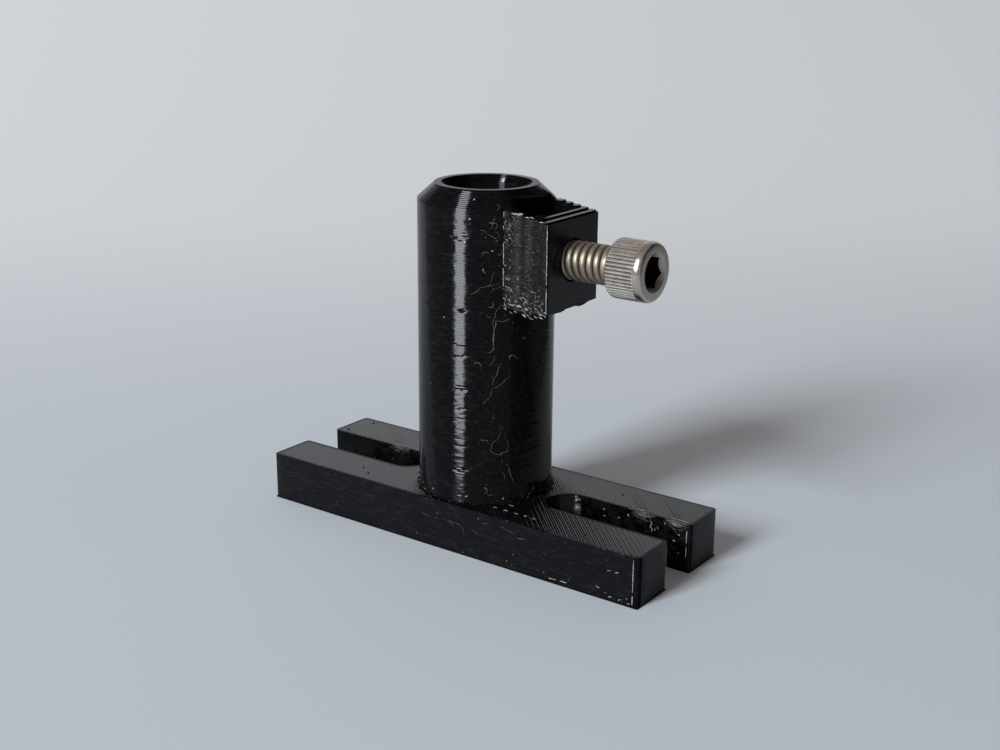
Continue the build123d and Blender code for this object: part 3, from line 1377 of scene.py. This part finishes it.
# %% Marks on the base
# On its near side, as (along, up): rubbed lines, and bright crumbs near the lower edge.
rubbed = [
    [(-0.1, 5.4), (2.2, 5.35), (4.3, 5.1), (4.9, 3.7)], [(1.6, 5.3), (3.0, 4.6)], [(6.6, 5.0), (7.8, 4.3)],
    [(-3.95, 5.4), (-2.2, 5.1)], [(8.6, 6.6), (9.6, 6.9)], [(12.2, 7.1), (14.8, 6.5)],
    [(15.5, 5.9), (17.2, 6.1)],
]
bright_crumbs = [
    [(32.5, 5.0), (33.1, 5.15)], [(33.8, 5.0), (34.5, 5.2)], [(21.7, 0.7), (23.2, 0.75)],
    [(23.9, 0.8), (25.1, 0.8)], [(32.8, 0.7), (33.4, 0.8)], [(34.6, 0.55), (35.0, 0.9)],
    [(30.6, 1.9), (31.2, 1.7)], [(36.2, 0.5), (36.7, 0.6)],
]
for marks, radius, kept in ((rubbed, 0.014, hairs), (bright_crumbs, 0.05, torn_marks_and_glints)):
    for mark in marks:
        kept.append(([(x, -base_edge - 0.02, z) for x, z in smooth_path(mark, 3)], radius))

# Along the near top edge the nozzle turned back after each pair of lines and left a small loop.
turn_back_pitch = 1.08
for x in np.arange(-36.5, 36.5, turn_back_pitch):
    if random.uniform() < 0.75:
        loop = [(x + t, -base_edge + 0.02, base_height - 0.03) for t in (0, 0.25, 0.5)]
        hairs.append((loop, random.uniform(0.015, 0.04)))

# A hair caught on the top skin in front of the tube, broken into short lengths.
for x, y in ((8.6, -9.0), (10.4, -6.9), (10.9, -9.2), (12.9, -9.1), (14.7, -9.0), (16.4, -9.1)):
    reach = random.uniform(0.2, 0.45)
    length = [(x + t, y + 0.1 * random.normal(), base_height + 0.03) for t in (-reach, 0.0, 0.4)]
    torn_marks_and_glints.append((length, 0.036))

# On the right slot's far wall, as (along, up): chips of torn plastic.
wall_chips = [
    [(34.8, 7.0), (35.1, 6.8), (35.4, 6.4)], [(35.7, 6.3), (36.1, 6.1)], [(34.85, 5.0), (35.25, 4.9)],
    [(35.8, 3.1), (36.1, 3.0)], [(30.5, 7.3), (30.9, 6.9), (30.6, 6.3), (31.0, 5.9), (30.8, 5.4)],
    [(31.4, 6.1), (31.6, 5.8)], [(33.2, 7.5), (33.6, 7.4)], [(21.6, 7.2), (21.9, 7.05)],
    [(21.7, 6.0), (22.0, 5.95)], [(24.5, 6.4), (24.8, 6.3)], [(26.2, 7.3), (26.6, 7.25)],
    [(31.9, 6.6), (32.1, 6.2)],
]
for mark in wall_chips:
    torn_marks_and_glints.append(([(x, slot_half + 0.04, z) for x, z in smooth_path(mark, 3)], random.uniform(0.04, 0.07)))
print("marks so far:", len(hairs), "strings and", len(torn_marks_and_glints), "torn ones")

# %% Marks on the block's near side
# Torn loops along its top edge.
for _ in range(9):
    x = random.uniform(seam_x + 0.6, block_front_x - 1.2)
    steps_back = max(0, math.ceil((block_front_x - block_front_step - x) / block_step))
    z = block_front_z + min(steps_back + 1, block_step_count) * layer_height - random.uniform(0.02, 0.3)
    slope = random.uniform(-0.25, 0.1)
    length = random.uniform(0.5, 0.9)
    torn_marks_and_glints.append(([(x + t, near_y - 0.03, z + slope * t) for t in (0, 0.3, length)], 0.06))
# Along its bottom: short slanting drops in two rows.
for x in np.arange(seam_x + 0.8, block_front_x - 0.2, 0.62):
    for z, size in ((block_floor_z + 0.75, 0.07), (block_floor_z - 0.25, 0.055)):
        x_here, z_here = x + random.normal(0, 0.3), z + random.normal(0, 0.28)
        drop = [
            (x_here, near_y - 0.05, z_here),
            (x_here + 0.35, near_y - 0.08, z_here - 0.12),
            (x_here + random.uniform(0.4, 0.75), near_y - 0.03, z_here - random.uniform(0.12, 0.3)),
        ]
        if random.uniform() < 0.7:
            torn_marks_and_glints.append((drop, size * random.uniform(0.6, 1.2)))
print("with the block's:", len(torn_marks_and_glints), "torn ones")

# %% Geometry Nodes: scatter over a surface
scatter_tree, given, result = new_tree(
    "Scatter over a surface",
    {
        "Shape": "Object", "Density": "Float", "Seed": "Int", "Smallest": "Float", "Largest": "Float",
        "Material": "Material",
    },
)
tree, seed = scatter_tree, given.outputs["Seed"]
spots = add_node(
    tree, "GeometryNodeDistributePointsOnFaces",
    {"Mesh": given.outputs["Geometry"], "Density": given.outputs["Density"], "Seed": seed},
)
shape = add_node(tree, "GeometryNodeObjectInfo", {"Object": given.outputs["Shape"]})
any_turn = add_node(tree, "FunctionNodeRandomValue", {3: 2 * math.pi, "Seed": seed})
spin = add_node(tree, "FunctionNodeEulerToRotation", {0: xyz(tree, Z=any_turn.outputs[1])})
facing = add_node(
    tree, "FunctionNodeRotateRotation", {0: spots.outputs["Rotation"], 1: spin.outputs[0]},
    rotation_space="LOCAL",
)
size = add_node(
    tree, "FunctionNodeRandomValue",
    {2: given.outputs["Smallest"], 3: given.outputs["Largest"], "Seed": seed},
)
solid = real_copies(
    tree, spots.outputs["Points"], shape.outputs["Geometry"],
    Rotation=facing.outputs[0], Scale=size.outputs[1],
)
end_tree(tree, given, result, solid)

# %% What is scattered
# Shapes about a millimetre across, lying in their own XY plane: a curled hair, a finer one, a short
# crumb, the same crumb pressed flat, and a lump.
curl_path = [(0.5, 0.0, 0.0), (0.3, 0.42, 0.2), (-0.3, 0.45, 0.3), (-0.5, 0.0, 0.1)]
fine_path = [(0.5, 0.0, 0.0), (0.35, 0.3, 0.1), (-0.1, 0.42, 0.12), (-0.45, 0.2, 0.08), (-0.4, -0.2, 0.0)]
crumb_path = [(-0.5, 0.0, 0.05), (0.0, 0.12, 0.15), (0.5, 0.0, 0.05)]
curl = string_object("curl", [(curl_path, 0.085)], pla_string_and_glints, 1)
fine_curl = string_object("fine_curl", [(fine_path, 0.019)], pla_string_and_glints, 4)
crumb = string_object("crumb", [(crumb_path, 0.22)], pla_string_and_glints, 2)
flake = string_object("flake", [(crumb_path, 0.22)], pla_string_and_glints, 3)
for vertex in flake.data.vertices:
    vertex.co.z *= 0.2

lump_sides = 9
lump_out = ways_out(even_angles(lump_sides))
lump_random = np.random.default_rng(3)
lump_rings = []
for height, reach in ((-0.35, 0.35), (-0.1, 0.52), (0.15, 0.45), (0.32, 0.25)):
    reaches = reach * lump_random.uniform(0.8, 1.2, lump_sides)
    lump_rings.append(at_height(lump_out * reaches[:, None], height))
lump = stack("lump", lump_rings, (0, 0, -0.45), (0, 0, 0.42), material=pla_wall)
lump.data.shade_smooth()

# %% Patches to scatter over
patch_bands = 36


def side_patch(x_range, z_range, y, way):
    """An upright patch across Y. way is -1 where it faces -Y, and 1 where it faces +Y."""
    (left, right_end), (low, high) = x_range, z_range
    corners = [(left, y, low), (right_end, y, low), (right_end, y, high), (left, y, high)]
    return new_object("patch", corners, [(0, 1, 2, 3) if way < 0 else (3, 2, 1, 0)])


def bent_patch(turns, z_range, radii=(tube_radius, tube_radius)):
    """A patch round the tube's axis, from one radius at its foot to another at its top."""
    angles = np.radians(np.linspace(*turns, patch_bands + 1))
    corners = [(r * math.cos(a), r * math.sin(a), z) for a in angles for r, z in zip(radii, z_range)]
    faces = [(2 * i, 2 * i + 2, 2 * i + 3, 2 * i + 1) for i in range(patch_bands)]
    return new_object("patch", corners, faces)


def scatter(patch, shape, per_square_mm, smallest, largest, seed, material):
    """Scatters a shape over a patch, and removes the patch."""
    values = {
        "Shape": shape, "Density": per_square_mm / MM**2, "Seed": seed, "Smallest": smallest,
        "Largest": largest, "Material": material,
    }
    made = run_tree(scatter_tree, patch, values, "scattered")
    bpy.data.meshes.remove(patch.data)
    return made


def gather(name, parts, material):
    """One object from many that share a material."""
    work = bmesh.new()
    for part in parts:
        work.from_mesh(part.data)
    mesh = bpy.data.meshes.new(name)
    work.to_mesh(mesh)
    work.free()
    mesh.materials.append(material)
    mesh.shade_smooth()
    for part in parts:
        bpy.data.meshes.remove(part.data)
    print(name, "has", len(mesh.polygons), "faces")
    return put_in_scene(name, mesh)


# %% Scatter them
# A row is: the patch, the shape, how many there are on a square millimetre, the smallest and the
# largest size, and the seed.
skin = 0.01
block_xs, block_zs = (seam_x + 0.2, block_front_x - 0.5), (block_floor_z + 0.2, block_front_z - 0.2)
low_band, seam_band = (block_floor_z - 0.1, block_floor_z + 3.2), (seam_x + 0.2, seam_x + 2.0)
base_side = -base_edge - 0.02
scattered = (
    (side_patch(block_xs, block_zs, near_y - skin, -1), crumb, 0.16, 0.1, 0.3, 41),
    (side_patch(block_xs, low_band, near_y - skin, -1), curl, 1.9, 0.25, 0.75, 42),
    (side_patch(seam_band, (44.5, 56.5), near_y - skin, -1), curl, 1.4, 0.25, 0.7, 43),
    (side_patch((11.2, 15.0), (44.5, 50.5), near_y - skin, -1), crumb, 0.5, 0.12, 0.45, 44),
    (side_patch(block_xs, block_zs, far_y + skin, 1), crumb, 0.6, 0.12, 0.4, 45),
    (side_patch(block_xs, low_band, far_y + skin, 1), curl, 1.5, 0.2, 0.55, 46),
    (bent_patch((-66, -8), (9.5, 55)), crumb, 0.05, 0.06, 0.2, 47),
    (bent_patch((-56, -41), (47, 58)), fine_curl, 0.24, 0.3, 1.2, 55),
    (bent_patch((-66, -20), (10, 48)), fine_curl, 0.035, 0.3, 1.4, 56),
    (side_patch(seam_band, (42.0, 57), near_y - skin, -1), fine_curl, 1.2, 0.4, 1.0, 57),
    (bent_patch((-180, 180), (9.5, 59)), crumb, 0.012, 0.06, 0.22, 48),
    (bent_patch((-165, 15), (8.7, 9.6)), crumb, 0.5, 0.12, 0.5, 49),
    (side_patch((-6.0, 37.0), (0.3, 1.6), base_side, -1), flake, 0.26, 0.1, 0.38, 50),
    (side_patch((-36.0, 37.0), (0.5, 8.0), base_side, -1), flake, 0.025, 0.08, 0.3, 51),
    (side_patch((-36.0, 37.0), (0.3, 1.6), -base_side, 1), flake, 0.2, 0.12, 0.5, 52),
    (side_patch((16.0, 37.0), (1.0, 8.2), slot_half + 0.05, -1), crumb, 0.08, 0.08, 0.28, 53),
    (side_patch((-37.0, -17.0), (1.0, 8.2), slot_half + 0.05, -1), crumb, 0.03, 0.08, 0.25, 54),
)
pale = [scatter(*row, pla_string_and_glints) for row in scattered]
pale.append(string_object("hairs", hairs, pla_string_and_glints, seed=31))
pale_strings = gather("pale_strings", pale, pla_string_and_glints)
torn_edges = string_object("torn_edges", torn_marks_and_glints, pla_torn_and_glint, seed=32)

# %% Lips pushed over the slots' walls
# What the screw heads crushed hangs over the wall in a ragged lip, pale above and black below. Fine
# pale rings mark where the heads turned.
lips_at_seat = 16
# A ring is (how far it lies outside the seat's edge, its thickness)
seat_rings = ((0.02, 0.026), (-0.25, 0.014), (-0.5, 0.012))
lips, rims, bitten = [], [], []
for place, drop in zip(seat_places, seat_drops):
    for _ in range(lips_at_seat):
        middle = place + random.uniform(-2.2, 2.2)
        lip_z = base_height - seat_depth(math.hypot(middle - place, slot_half), drop)
        half_length = random.uniform(0.15, 0.6)
        points = [
            (middle + half_length * t, slot_half + 0.04 - random.uniform(0.0, 0.06),
             lip_z - 0.05 - random.uniform(0.0, 0.3) - 0.15 * half_length * (1 - t * t))
            for t in (-1, -0.3, 0.4, 1)
        ]
        lips.append((points, random.uniform(0.05, 0.13)))
        lower = [(x, slot_half + 0.03, z - random.uniform(0.15, 0.6)) for x, _, z in points]
        bitten.append((lower, random.uniform(0.07, 0.15)))
    for outside, thickness in seat_rings:
        radius = seat_radius + outside
        half_turn = math.degrees(math.acos(slot_half / radius)) * random.uniform(0.6, 0.85)
        middle_turn = 90 + random.normal(0, 4)
        turns = np.radians(np.linspace(middle_turn - half_turn, middle_turn + half_turn, 12))
        z = base_height - seat_depth(radius, drop) + 0.005
        points = []
        for turn in turns:
            x, y = place + radius * math.cos(turn), radius * math.sin(turn)
            points.append((x, y, z + 0.01 * random.normal()))
        rims.append((points, thickness))
pushed_lips = string_object("pushed_lips", lips, pla_seat, seed=34)
seat_rims = string_object("seat_rims", rims, pla_torn_and_glint, seed=35)

# %% Sagging strands
# The first layer under the block hangs in loops, along its near side and along its front.
strand_steps = (0, 0.25, 0.5, 0.75, 1)
sagging = list(bitten)
for _ in range(15):
    start = random.uniform(seam_x, block_front_x - 2.0)
    length, sag = random.uniform(1.0, 3.6), random.uniform(0.1, 0.75)
    y = -block_half + random.uniform(0.05, 0.5)
    points = [
        (min(start + length * t, block_front_x - 0.1), y, block_floor_z + 0.12 - sag * math.sin(math.pi * t))
        for t in strand_steps
    ]
    sagging.append((points, random.uniform(0.1, 0.17)))
for _ in range(12):
    start = random.uniform(-block_half, block_half - 3.0)
    length, sag = random.uniform(1.5, 4.5), random.uniform(0.1, 0.4)
    x = block_front_x - random.uniform(0.14, 0.6)
    points = []
    for t in strand_steps:
        droop = sag * math.sin(math.pi * t) ** 0.4
        points.append((x, min(start + length * t, block_half - 0.1), block_floor_z + 0.1 - droop))
    sagging.append((points, random.uniform(0.1, 0.16)))
print("sagging and bitten strands:", len(sagging))

# %% Specks and the foot's fringe
# Specks of burnt plastic that the nozzle left on the top skin. At the tube's foot the wall's lowest
# layer has curled up over the base's top skin in a ragged black fringe, highest at a few places.
speck_places = (
    (-34.8, 10.8), (-20.6, -8.2), (-18.3, -9.6), (-36.3, 5.3), (37.5, 9.7), (22.6, 8.3), (26.5, -9.5),
)
for x, y in speck_places:
    speck = [(x + t, y + 0.6 * t * random.normal(), base_height + 0.02) for t in (-0.2, -0.05, 0.1, 0.2)]
    sagging.append((speck, random.uniform(0.09, 0.16)))
for turn in np.arange(-180, 180, 3.3):
    points = []
    for step in range(4):
        degrees = turn + step * random.uniform(1.0, 2.2)
        height = base_height + random.uniform(0.0, 0.28)
        points.append(on_tube(degrees, height, random.uniform(0.0, 0.25)))
    sagging.append((points, random.uniform(0.08, 0.17)))
for turn, reach in ((-10, 2.2), (-3, 1.2), (-150, 0.9), (-158, 1.3), (-141, 0.7), (-127, 0.6)):
    for _ in range(3):
        points = []
        for t in (0, 0.4, 0.8, 1):
            degrees = turn + random.normal(0, 1.5)
            points.append(on_tube(degrees, base_height + reach * t, 0.02 + 0.25 * random.uniform()))
        sagging.append((points, random.uniform(0.1, 0.2)))

fringe_height, fringe_reach = 0.35, 0.8
ring_z = base_height + 0.03
foot_wall = bent_patch((-180, 180), (base_height, base_height + fringe_height))
foot_ring = bent_patch((-125, 30), (ring_z, ring_z), (tube_radius + fringe_reach, tube_radius))
lumps = scatter(foot_wall, lump, 1.6, 0.25, 0.7, 61, pla_wall)
beads = scatter(foot_ring, lump, 2.2, 0.15, 0.5, 62, pla_wall)
strands = string_object("strands", sagging, pla_wall, seed=33)
black_strands = gather("black_strands", [strands, lumps, beads], pla_wall)

for plain in (curl, fine_curl, crumb, flake, lump):
    bpy.data.meshes.remove(plain.data)

# %% Hand over the print
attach(body, "holder")
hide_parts("holder_body")
for made in (pale_strings, torn_edges, black_strands, pushed_lips, seat_rims):
    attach(made, "holder")

# %% [markdown]
# ## Stainless steel
#
# The screw is A2 stainless. The thread and the knurl are rolled and then tumbled, which leaves a
# soft, slightly warm grey with fine pits. The roots, the valleys and the socket are painted darker
# and browner, as painted shade in the hollows, so the colour goes by the distance from the screw's
# axis.

# %% Steel by its place on the screw


def steel_material(name, valley, crest, hollow_shade, crest_colour, smoothest, dullest):
    """Steel painted shaded at one radius, in millimetres, and paler further out: painted shade in hollows."""
    material, tree, shader, where = new_material(name)
    from_axis = add_node(
        tree, "ShaderNodeVectorMath", {0: where, 1: (0.0, 0.0, -screw_z * MM)}, operation="ADD"
    )
    across = add_node(
        tree, "ShaderNodeVectorMath", {0: from_axis.outputs[0], 1: (0.0, 1.0, 1.0)}, operation="MULTIPLY"
    )
    radius = add_node(
        tree, "ShaderNodeVectorMath", {0: across.outputs[0]}, operation="LENGTH"
    ).outputs["Value"]
    tone = noise(tree, where, 1.2)
    proud = between(tree, radius, valley * MM, crest * MM)
    patches = ranged(tree, tone, 0.8, 1.0, start=0.4, end=0.6)
    set_inputs(tree, shader, {
        "Base Color": blend(tree, maths(tree, "MULTIPLY", proud, patches), hollow_shade, crest_colour),
        "Metallic": 1.0,
        "Roughness": ranged(tree, tone, smoothest, dullest, start=0.3, end=0.7),
        "Normal": bump(tree, noise(tree, where, 0.22, detail=4.0), 0.009),
    })
    return material


# The thread's crests are a dull, warm grey, and its root is painted brown and dark as painted shade.
steel = steel_material("stainless steel, rolled thread", 2.7, 3.05, "#5c5044", "#aa9f8e", 0.42, 0.54)
# The knurl's crests are painted as bright lines, a painted highlight, between valleys painted grey as shade.
knurled = steel_material("stainless steel, rolled knurl", 4.56, 4.73, "#938b7e", "#faf6ec", 0.1, 0.22)
# Tumbling has smoothed the rounded front edge, which mirrors softly. Its colour is painted a little
# darker towards the face, as painted shade.
tumbled = steel_material("stainless steel, tumbled front edge", 3.0, 4.4, "#a49c90", "#c9c2b6", 0.2, 0.34)
# The flat face keeps the forging's even satin grey. It is painted a little darker round the socket,
# as painted shade.
forged = steel_material("stainless steel, forged face", 2.6, 3.1, "#9a948b", "#b3aea5", 0.3, 0.38)
# The socket is painted brown, and nearly black in the middle of its floor: painted shade in the
# hollow.
painted_socket_shade = steel_material("stainless steel, painted shade in the socket", 0.5, 5.0, "#2c241f", "#8a7d71", 0.3, 0.45)

# %% [markdown]
# ## The cap screw
#
# A quarter-inch cap screw with twenty threads to the inch. Its thread is rolled: a helix with
# rounded crests and a narrow root, which runs out below the head. The mesh follows the helix, so
# every row of points stays on one height of the thread's profile, and the last row of one turn is
# the first row of the next.

# %% The thread
thread_depth = 0.5
thread_segments = 56
# One turn's profile, as (share of the pitch, share of the depth)
thread_profile = [
    (0.00, 0.03), (0.12, 0.0), (0.30, 0.0), (0.45, 0.05), (0.57, 0.17), (0.67, 0.42),
    (0.74, 0.8), (0.78, 1.0), (0.83, 1.0), (0.87, 0.8), (0.92, 0.36), (0.96, 0.12),
]
thread_phase = -0.24
thread_fade = 1.5
thread_end = head_back_x - 0.45


def thread_rod(start, turns):
    """A rod whose surface is the thread's helix. Its ragged ends are cut off later."""
    rows = len(thread_profile)
    total = turns * rows
    vertices, index = [], {}
    for row in range(total + rows + 1):
        share, depth = thread_profile[row % rows]
        for step in range(thread_segments if row <= total else 1):
            turn = step / thread_segments
            along = start + thread_pitch * (row // rows + share + turn)
            fade = min(1.0, max(0.1, (thread_end - along) / thread_fade))
            radius = screw_radius - thread_depth * depth * fade
            angle = turn * 2 * math.pi
            index[row, step] = len(vertices)
            vertices.append((along, radius * math.cos(angle), screw_z + radius * math.sin(angle)))

    def corner(row, step):
        return index[row, step] if step < thread_segments else index[row + rows, 0]

    faces = []
    for row in range(total):
        for step in range(thread_segments):
            faces.append((
                corner(row, step), corner(row, step + 1), corner(row + 1, step + 1), corner(row + 1, step)
            ))
    low_edge = [index[0, step] for step in range(thread_segments)]
    low_edge += [index[row, 0] for row in range(rows, 0, -1)]
    high_edge = [index[total, step] for step in range(thread_segments)]
    high_edge += [index[total + row, 0] for row in range(rows, 0, -1)]
    for edge, away_x, flip in ((low_edge, start - 1, True), (high_edge, vertices[-1][0] + 1, False)):
        vertices.append((away_x, 0.0, screw_z))
        pole = len(vertices) - 1
        for here, after in zip(edge, edge[1:] + edge[:1]):
            faces.append((pole, after, here) if flip else (pole, here, after))
    return new_object("screw_thread", vertices, faces, steel)


thread_turns = math.ceil((head_back_x - screw_tip_x) / thread_pitch) + 2
screw = thread_rod(screw_tip_x - thread_pitch + thread_phase, thread_turns)
print("thread:", thread_turns, "turns,", len(screw.data.polygons), "faces")

# %% Turned forms about the screw's axis


def turned(name, profile, count):
    """A closed turned form about the screw's axis. The profile is (along, radius) points."""
    angles = even_angles(count)
    rings = [at_x(about_screw(r, angles), x) for x, r in profile]
    return stack(name, rings, (profile[0][0], 0, screw_z), (profile[-1][0], 0, screw_z))


point_chamfer = 0.8
spare = 0.05
envelope = [
    (screw_tip_x, screw_radius - point_chamfer), (screw_tip_x + point_chamfer + spare, screw_radius + spare),
    (head_back_x + 0.6, screw_radius + spare),
]
combine(screw, turned("screw_envelope", envelope, 64), "INTERSECT")
print("thread between its ends:", len(screw.data.polygons), "faces")

# %% [markdown]
# ### The head
#
# The head's side is knurled with 48 straight flutes, so that fingers can turn it. The flutes stop
# before the face in a smooth band. One flute is modelled as a thin slice of the head, from the axis
# to the axis, and Geometry Nodes turn it round the axis 48 times and weld the slices.

# %% One slice of the head
knurl_count = 48
knurl_depth = 0.2
knurl_sharpness = 1.8
slice_columns = 8
head_edge_length = 1.0
head_edge_width = 0.62
head_back_edge = 0.35

# The head's side view: (along, radius, how deep the flutes are there)
head_profile = [
    (head_back_x, screw_radius * 0.8, 0.0),
    (head_back_x, head_radius - head_back_edge, 0.0),
    (head_back_x + 0.06, head_radius - 0.16, 0.3),
    (head_back_x + 0.2, head_radius - 0.03, 0.8),
    (head_back_x + 0.4, head_radius, 1.0),
    (head_front_x - 1.6, head_radius, 1.0),
    (head_front_x - 1.4, head_radius, 0.6),
    (head_front_x - 1.25, head_radius, 0.0),
]
head_profile += [
    (
        head_front_x - head_edge_length * (1 - math.sin(math.radians(turn))),
        head_radius - head_edge_width * (1 - math.cos(math.radians(turn))), 0.0,
    )
    for turn in (0, 18, 36, 54, 70, 82)
]
head_profile.append((head_front_x, head_radius - head_edge_width, 0.0))


def head_slice():
    """One flute's share of the head: a crest in the middle and half a valley at each side."""
    width = 2 * math.pi / knurl_count
    vertices, faces = [(head_back_x, 0, 0)], []
    for along, radius, share in head_profile:
        for column in range(slice_columns + 1):
            part = column / slice_columns
            valley = abs(2 * part - 1) ** knurl_sharpness
            r = radius - knurl_depth * share * valley
            angle = part * width
            vertices.append((along, r * math.cos(angle), r * math.sin(angle)))
    vertices.append((head_front_x, 0, 0))
    across = slice_columns + 1
    last = 1 + (len(head_profile) - 1) * across
    for column in range(slice_columns):
        faces.append((0, 2 + column, 1 + column))
        faces.append((len(vertices) - 1, last + column, last + column + 1))
        for row in range(len(head_profile) - 1):
            low, high = 1 + row * across + column, 1 + (row + 1) * across + column
            faces.append((low, low + 1, high + 1, high))
    return new_object("head_slice", vertices, faces)


slice_of_head = head_slice()

# %% Geometry Nodes: repeat round the axis
tree, given, result = new_tree(
    "Repeat round the screw", {"Count": "Int", "Axis height": "Float", "Material": "Material"}
)
points = add_node(tree, "GeometryNodePoints", {"Count": given.outputs["Count"]})
index = add_node(tree, "GeometryNodeInputIndex")
share = maths(tree, "DIVIDE", index.outputs[0], given.outputs["Count"])
spin = xyz(tree, X=maths(tree, "MULTIPLY", share, 2 * math.pi))
welded = real_copies(tree, points.outputs[0], given.outputs["Geometry"], weld=0.002, Rotation=spin)
end_tree(tree, given, result, welded, Translation=xyz(tree, Z=given.outputs["Axis height"]))

head = run_tree(
    tree, slice_of_head,
    {"Count": knurl_count, "Axis height": screw_z * MM, "Material": knurled},
    "screw_head",
)
bpy.data.meshes.remove(slice_of_head.data)

# %% The socket
# A hexagon for the key, and a cone at its mouth that eases the key in.
socket_half = 4.7625 / 2
socket_depth = 3.4
socket_turn = math.radians(-12.2)
socket_countersink = 0.38
socket_corner = socket_half / math.cos(math.radians(30))
socket_mouth = socket_corner + socket_countersink

corner_angles = socket_turn + np.arange(6) * math.radians(60)
socket = through_x(about_screw(socket_corner, corner_angles), head_front_x - socket_depth, head_front_x + 1)
socket.data.materials.append(painted_socket_shade)
combine(head, socket, "DIFFERENCE")
# The cone runs on past the face, and narrows to half a millimetre inside the socket.
mouth_cone = [(head_front_x - socket_mouth + 0.5, 0.5), (head_front_x + 0.5, socket_mouth + 0.5)]
mouth = turned("socket_mouth", mouth_cone, 96)
mouth.data.materials.append(forged)
combine(head, mouth, "DIFFERENCE")
combine(screw, head, "UNION")
screw.name = "cap_screw"
print("screw:", len(screw.data.polygons), "faces")

# %% The head's finishes
# The flat face is picked out first, and then the smooth band and the rounded edge behind it.
face_depth, band_depth = 0.2, 1.3


def on_face(place, normal):
    """The flat front of the head."""
    return place.x > head_front_x - face_depth and normal.x > 0.8


give_material(screw, forged, knurled, on_face)
give_material(screw, tumbled, knurled, lambda place, normal: place.x > head_front_x - band_depth)

# %% Smooth flanks and sharp edges
screw.data.shade_smooth()
screw.data.set_sharp_from_angle(angle=math.radians(38))

# %% Hand over the screw
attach(screw, "screw")
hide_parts("clamp_screw")

# %% [markdown]
# ## The nut
#
# The nut keeps its CAD shape, and only its finish is made here: steel with a black oxide, painted
# nearly black, which also stands for the shade inside the pocket, so that it can't be told from the
# print around it.

# %% Black oxide
# A thin hot-dipped coat: nearly black, with a satin sheen that is uneven in small clouds. Its
# near-black colour is also painted shade for the pocket it sits in.
oxide_and_pocket_shade, tree, shader, where = new_material("steel, black oxide")
bloom = noise(tree, where, 0.8, detail=4.0)
set_inputs(tree, shader, {
    "Base Color": blend(tree, bloom, "#1b1b1e", "#2b2a2c"),
    "Metallic": 1.0,
    "Roughness": ranged(tree, bloom, 0.35, 0.5),
})

nut = frame["nodes"]["clamp_nut"]
nut.data.materials.clear()
nut.data.materials.append(oxide_and_pocket_shade)
nut.data.polygons.foreach_set("material_index", [0] * len(nut.data.polygons))
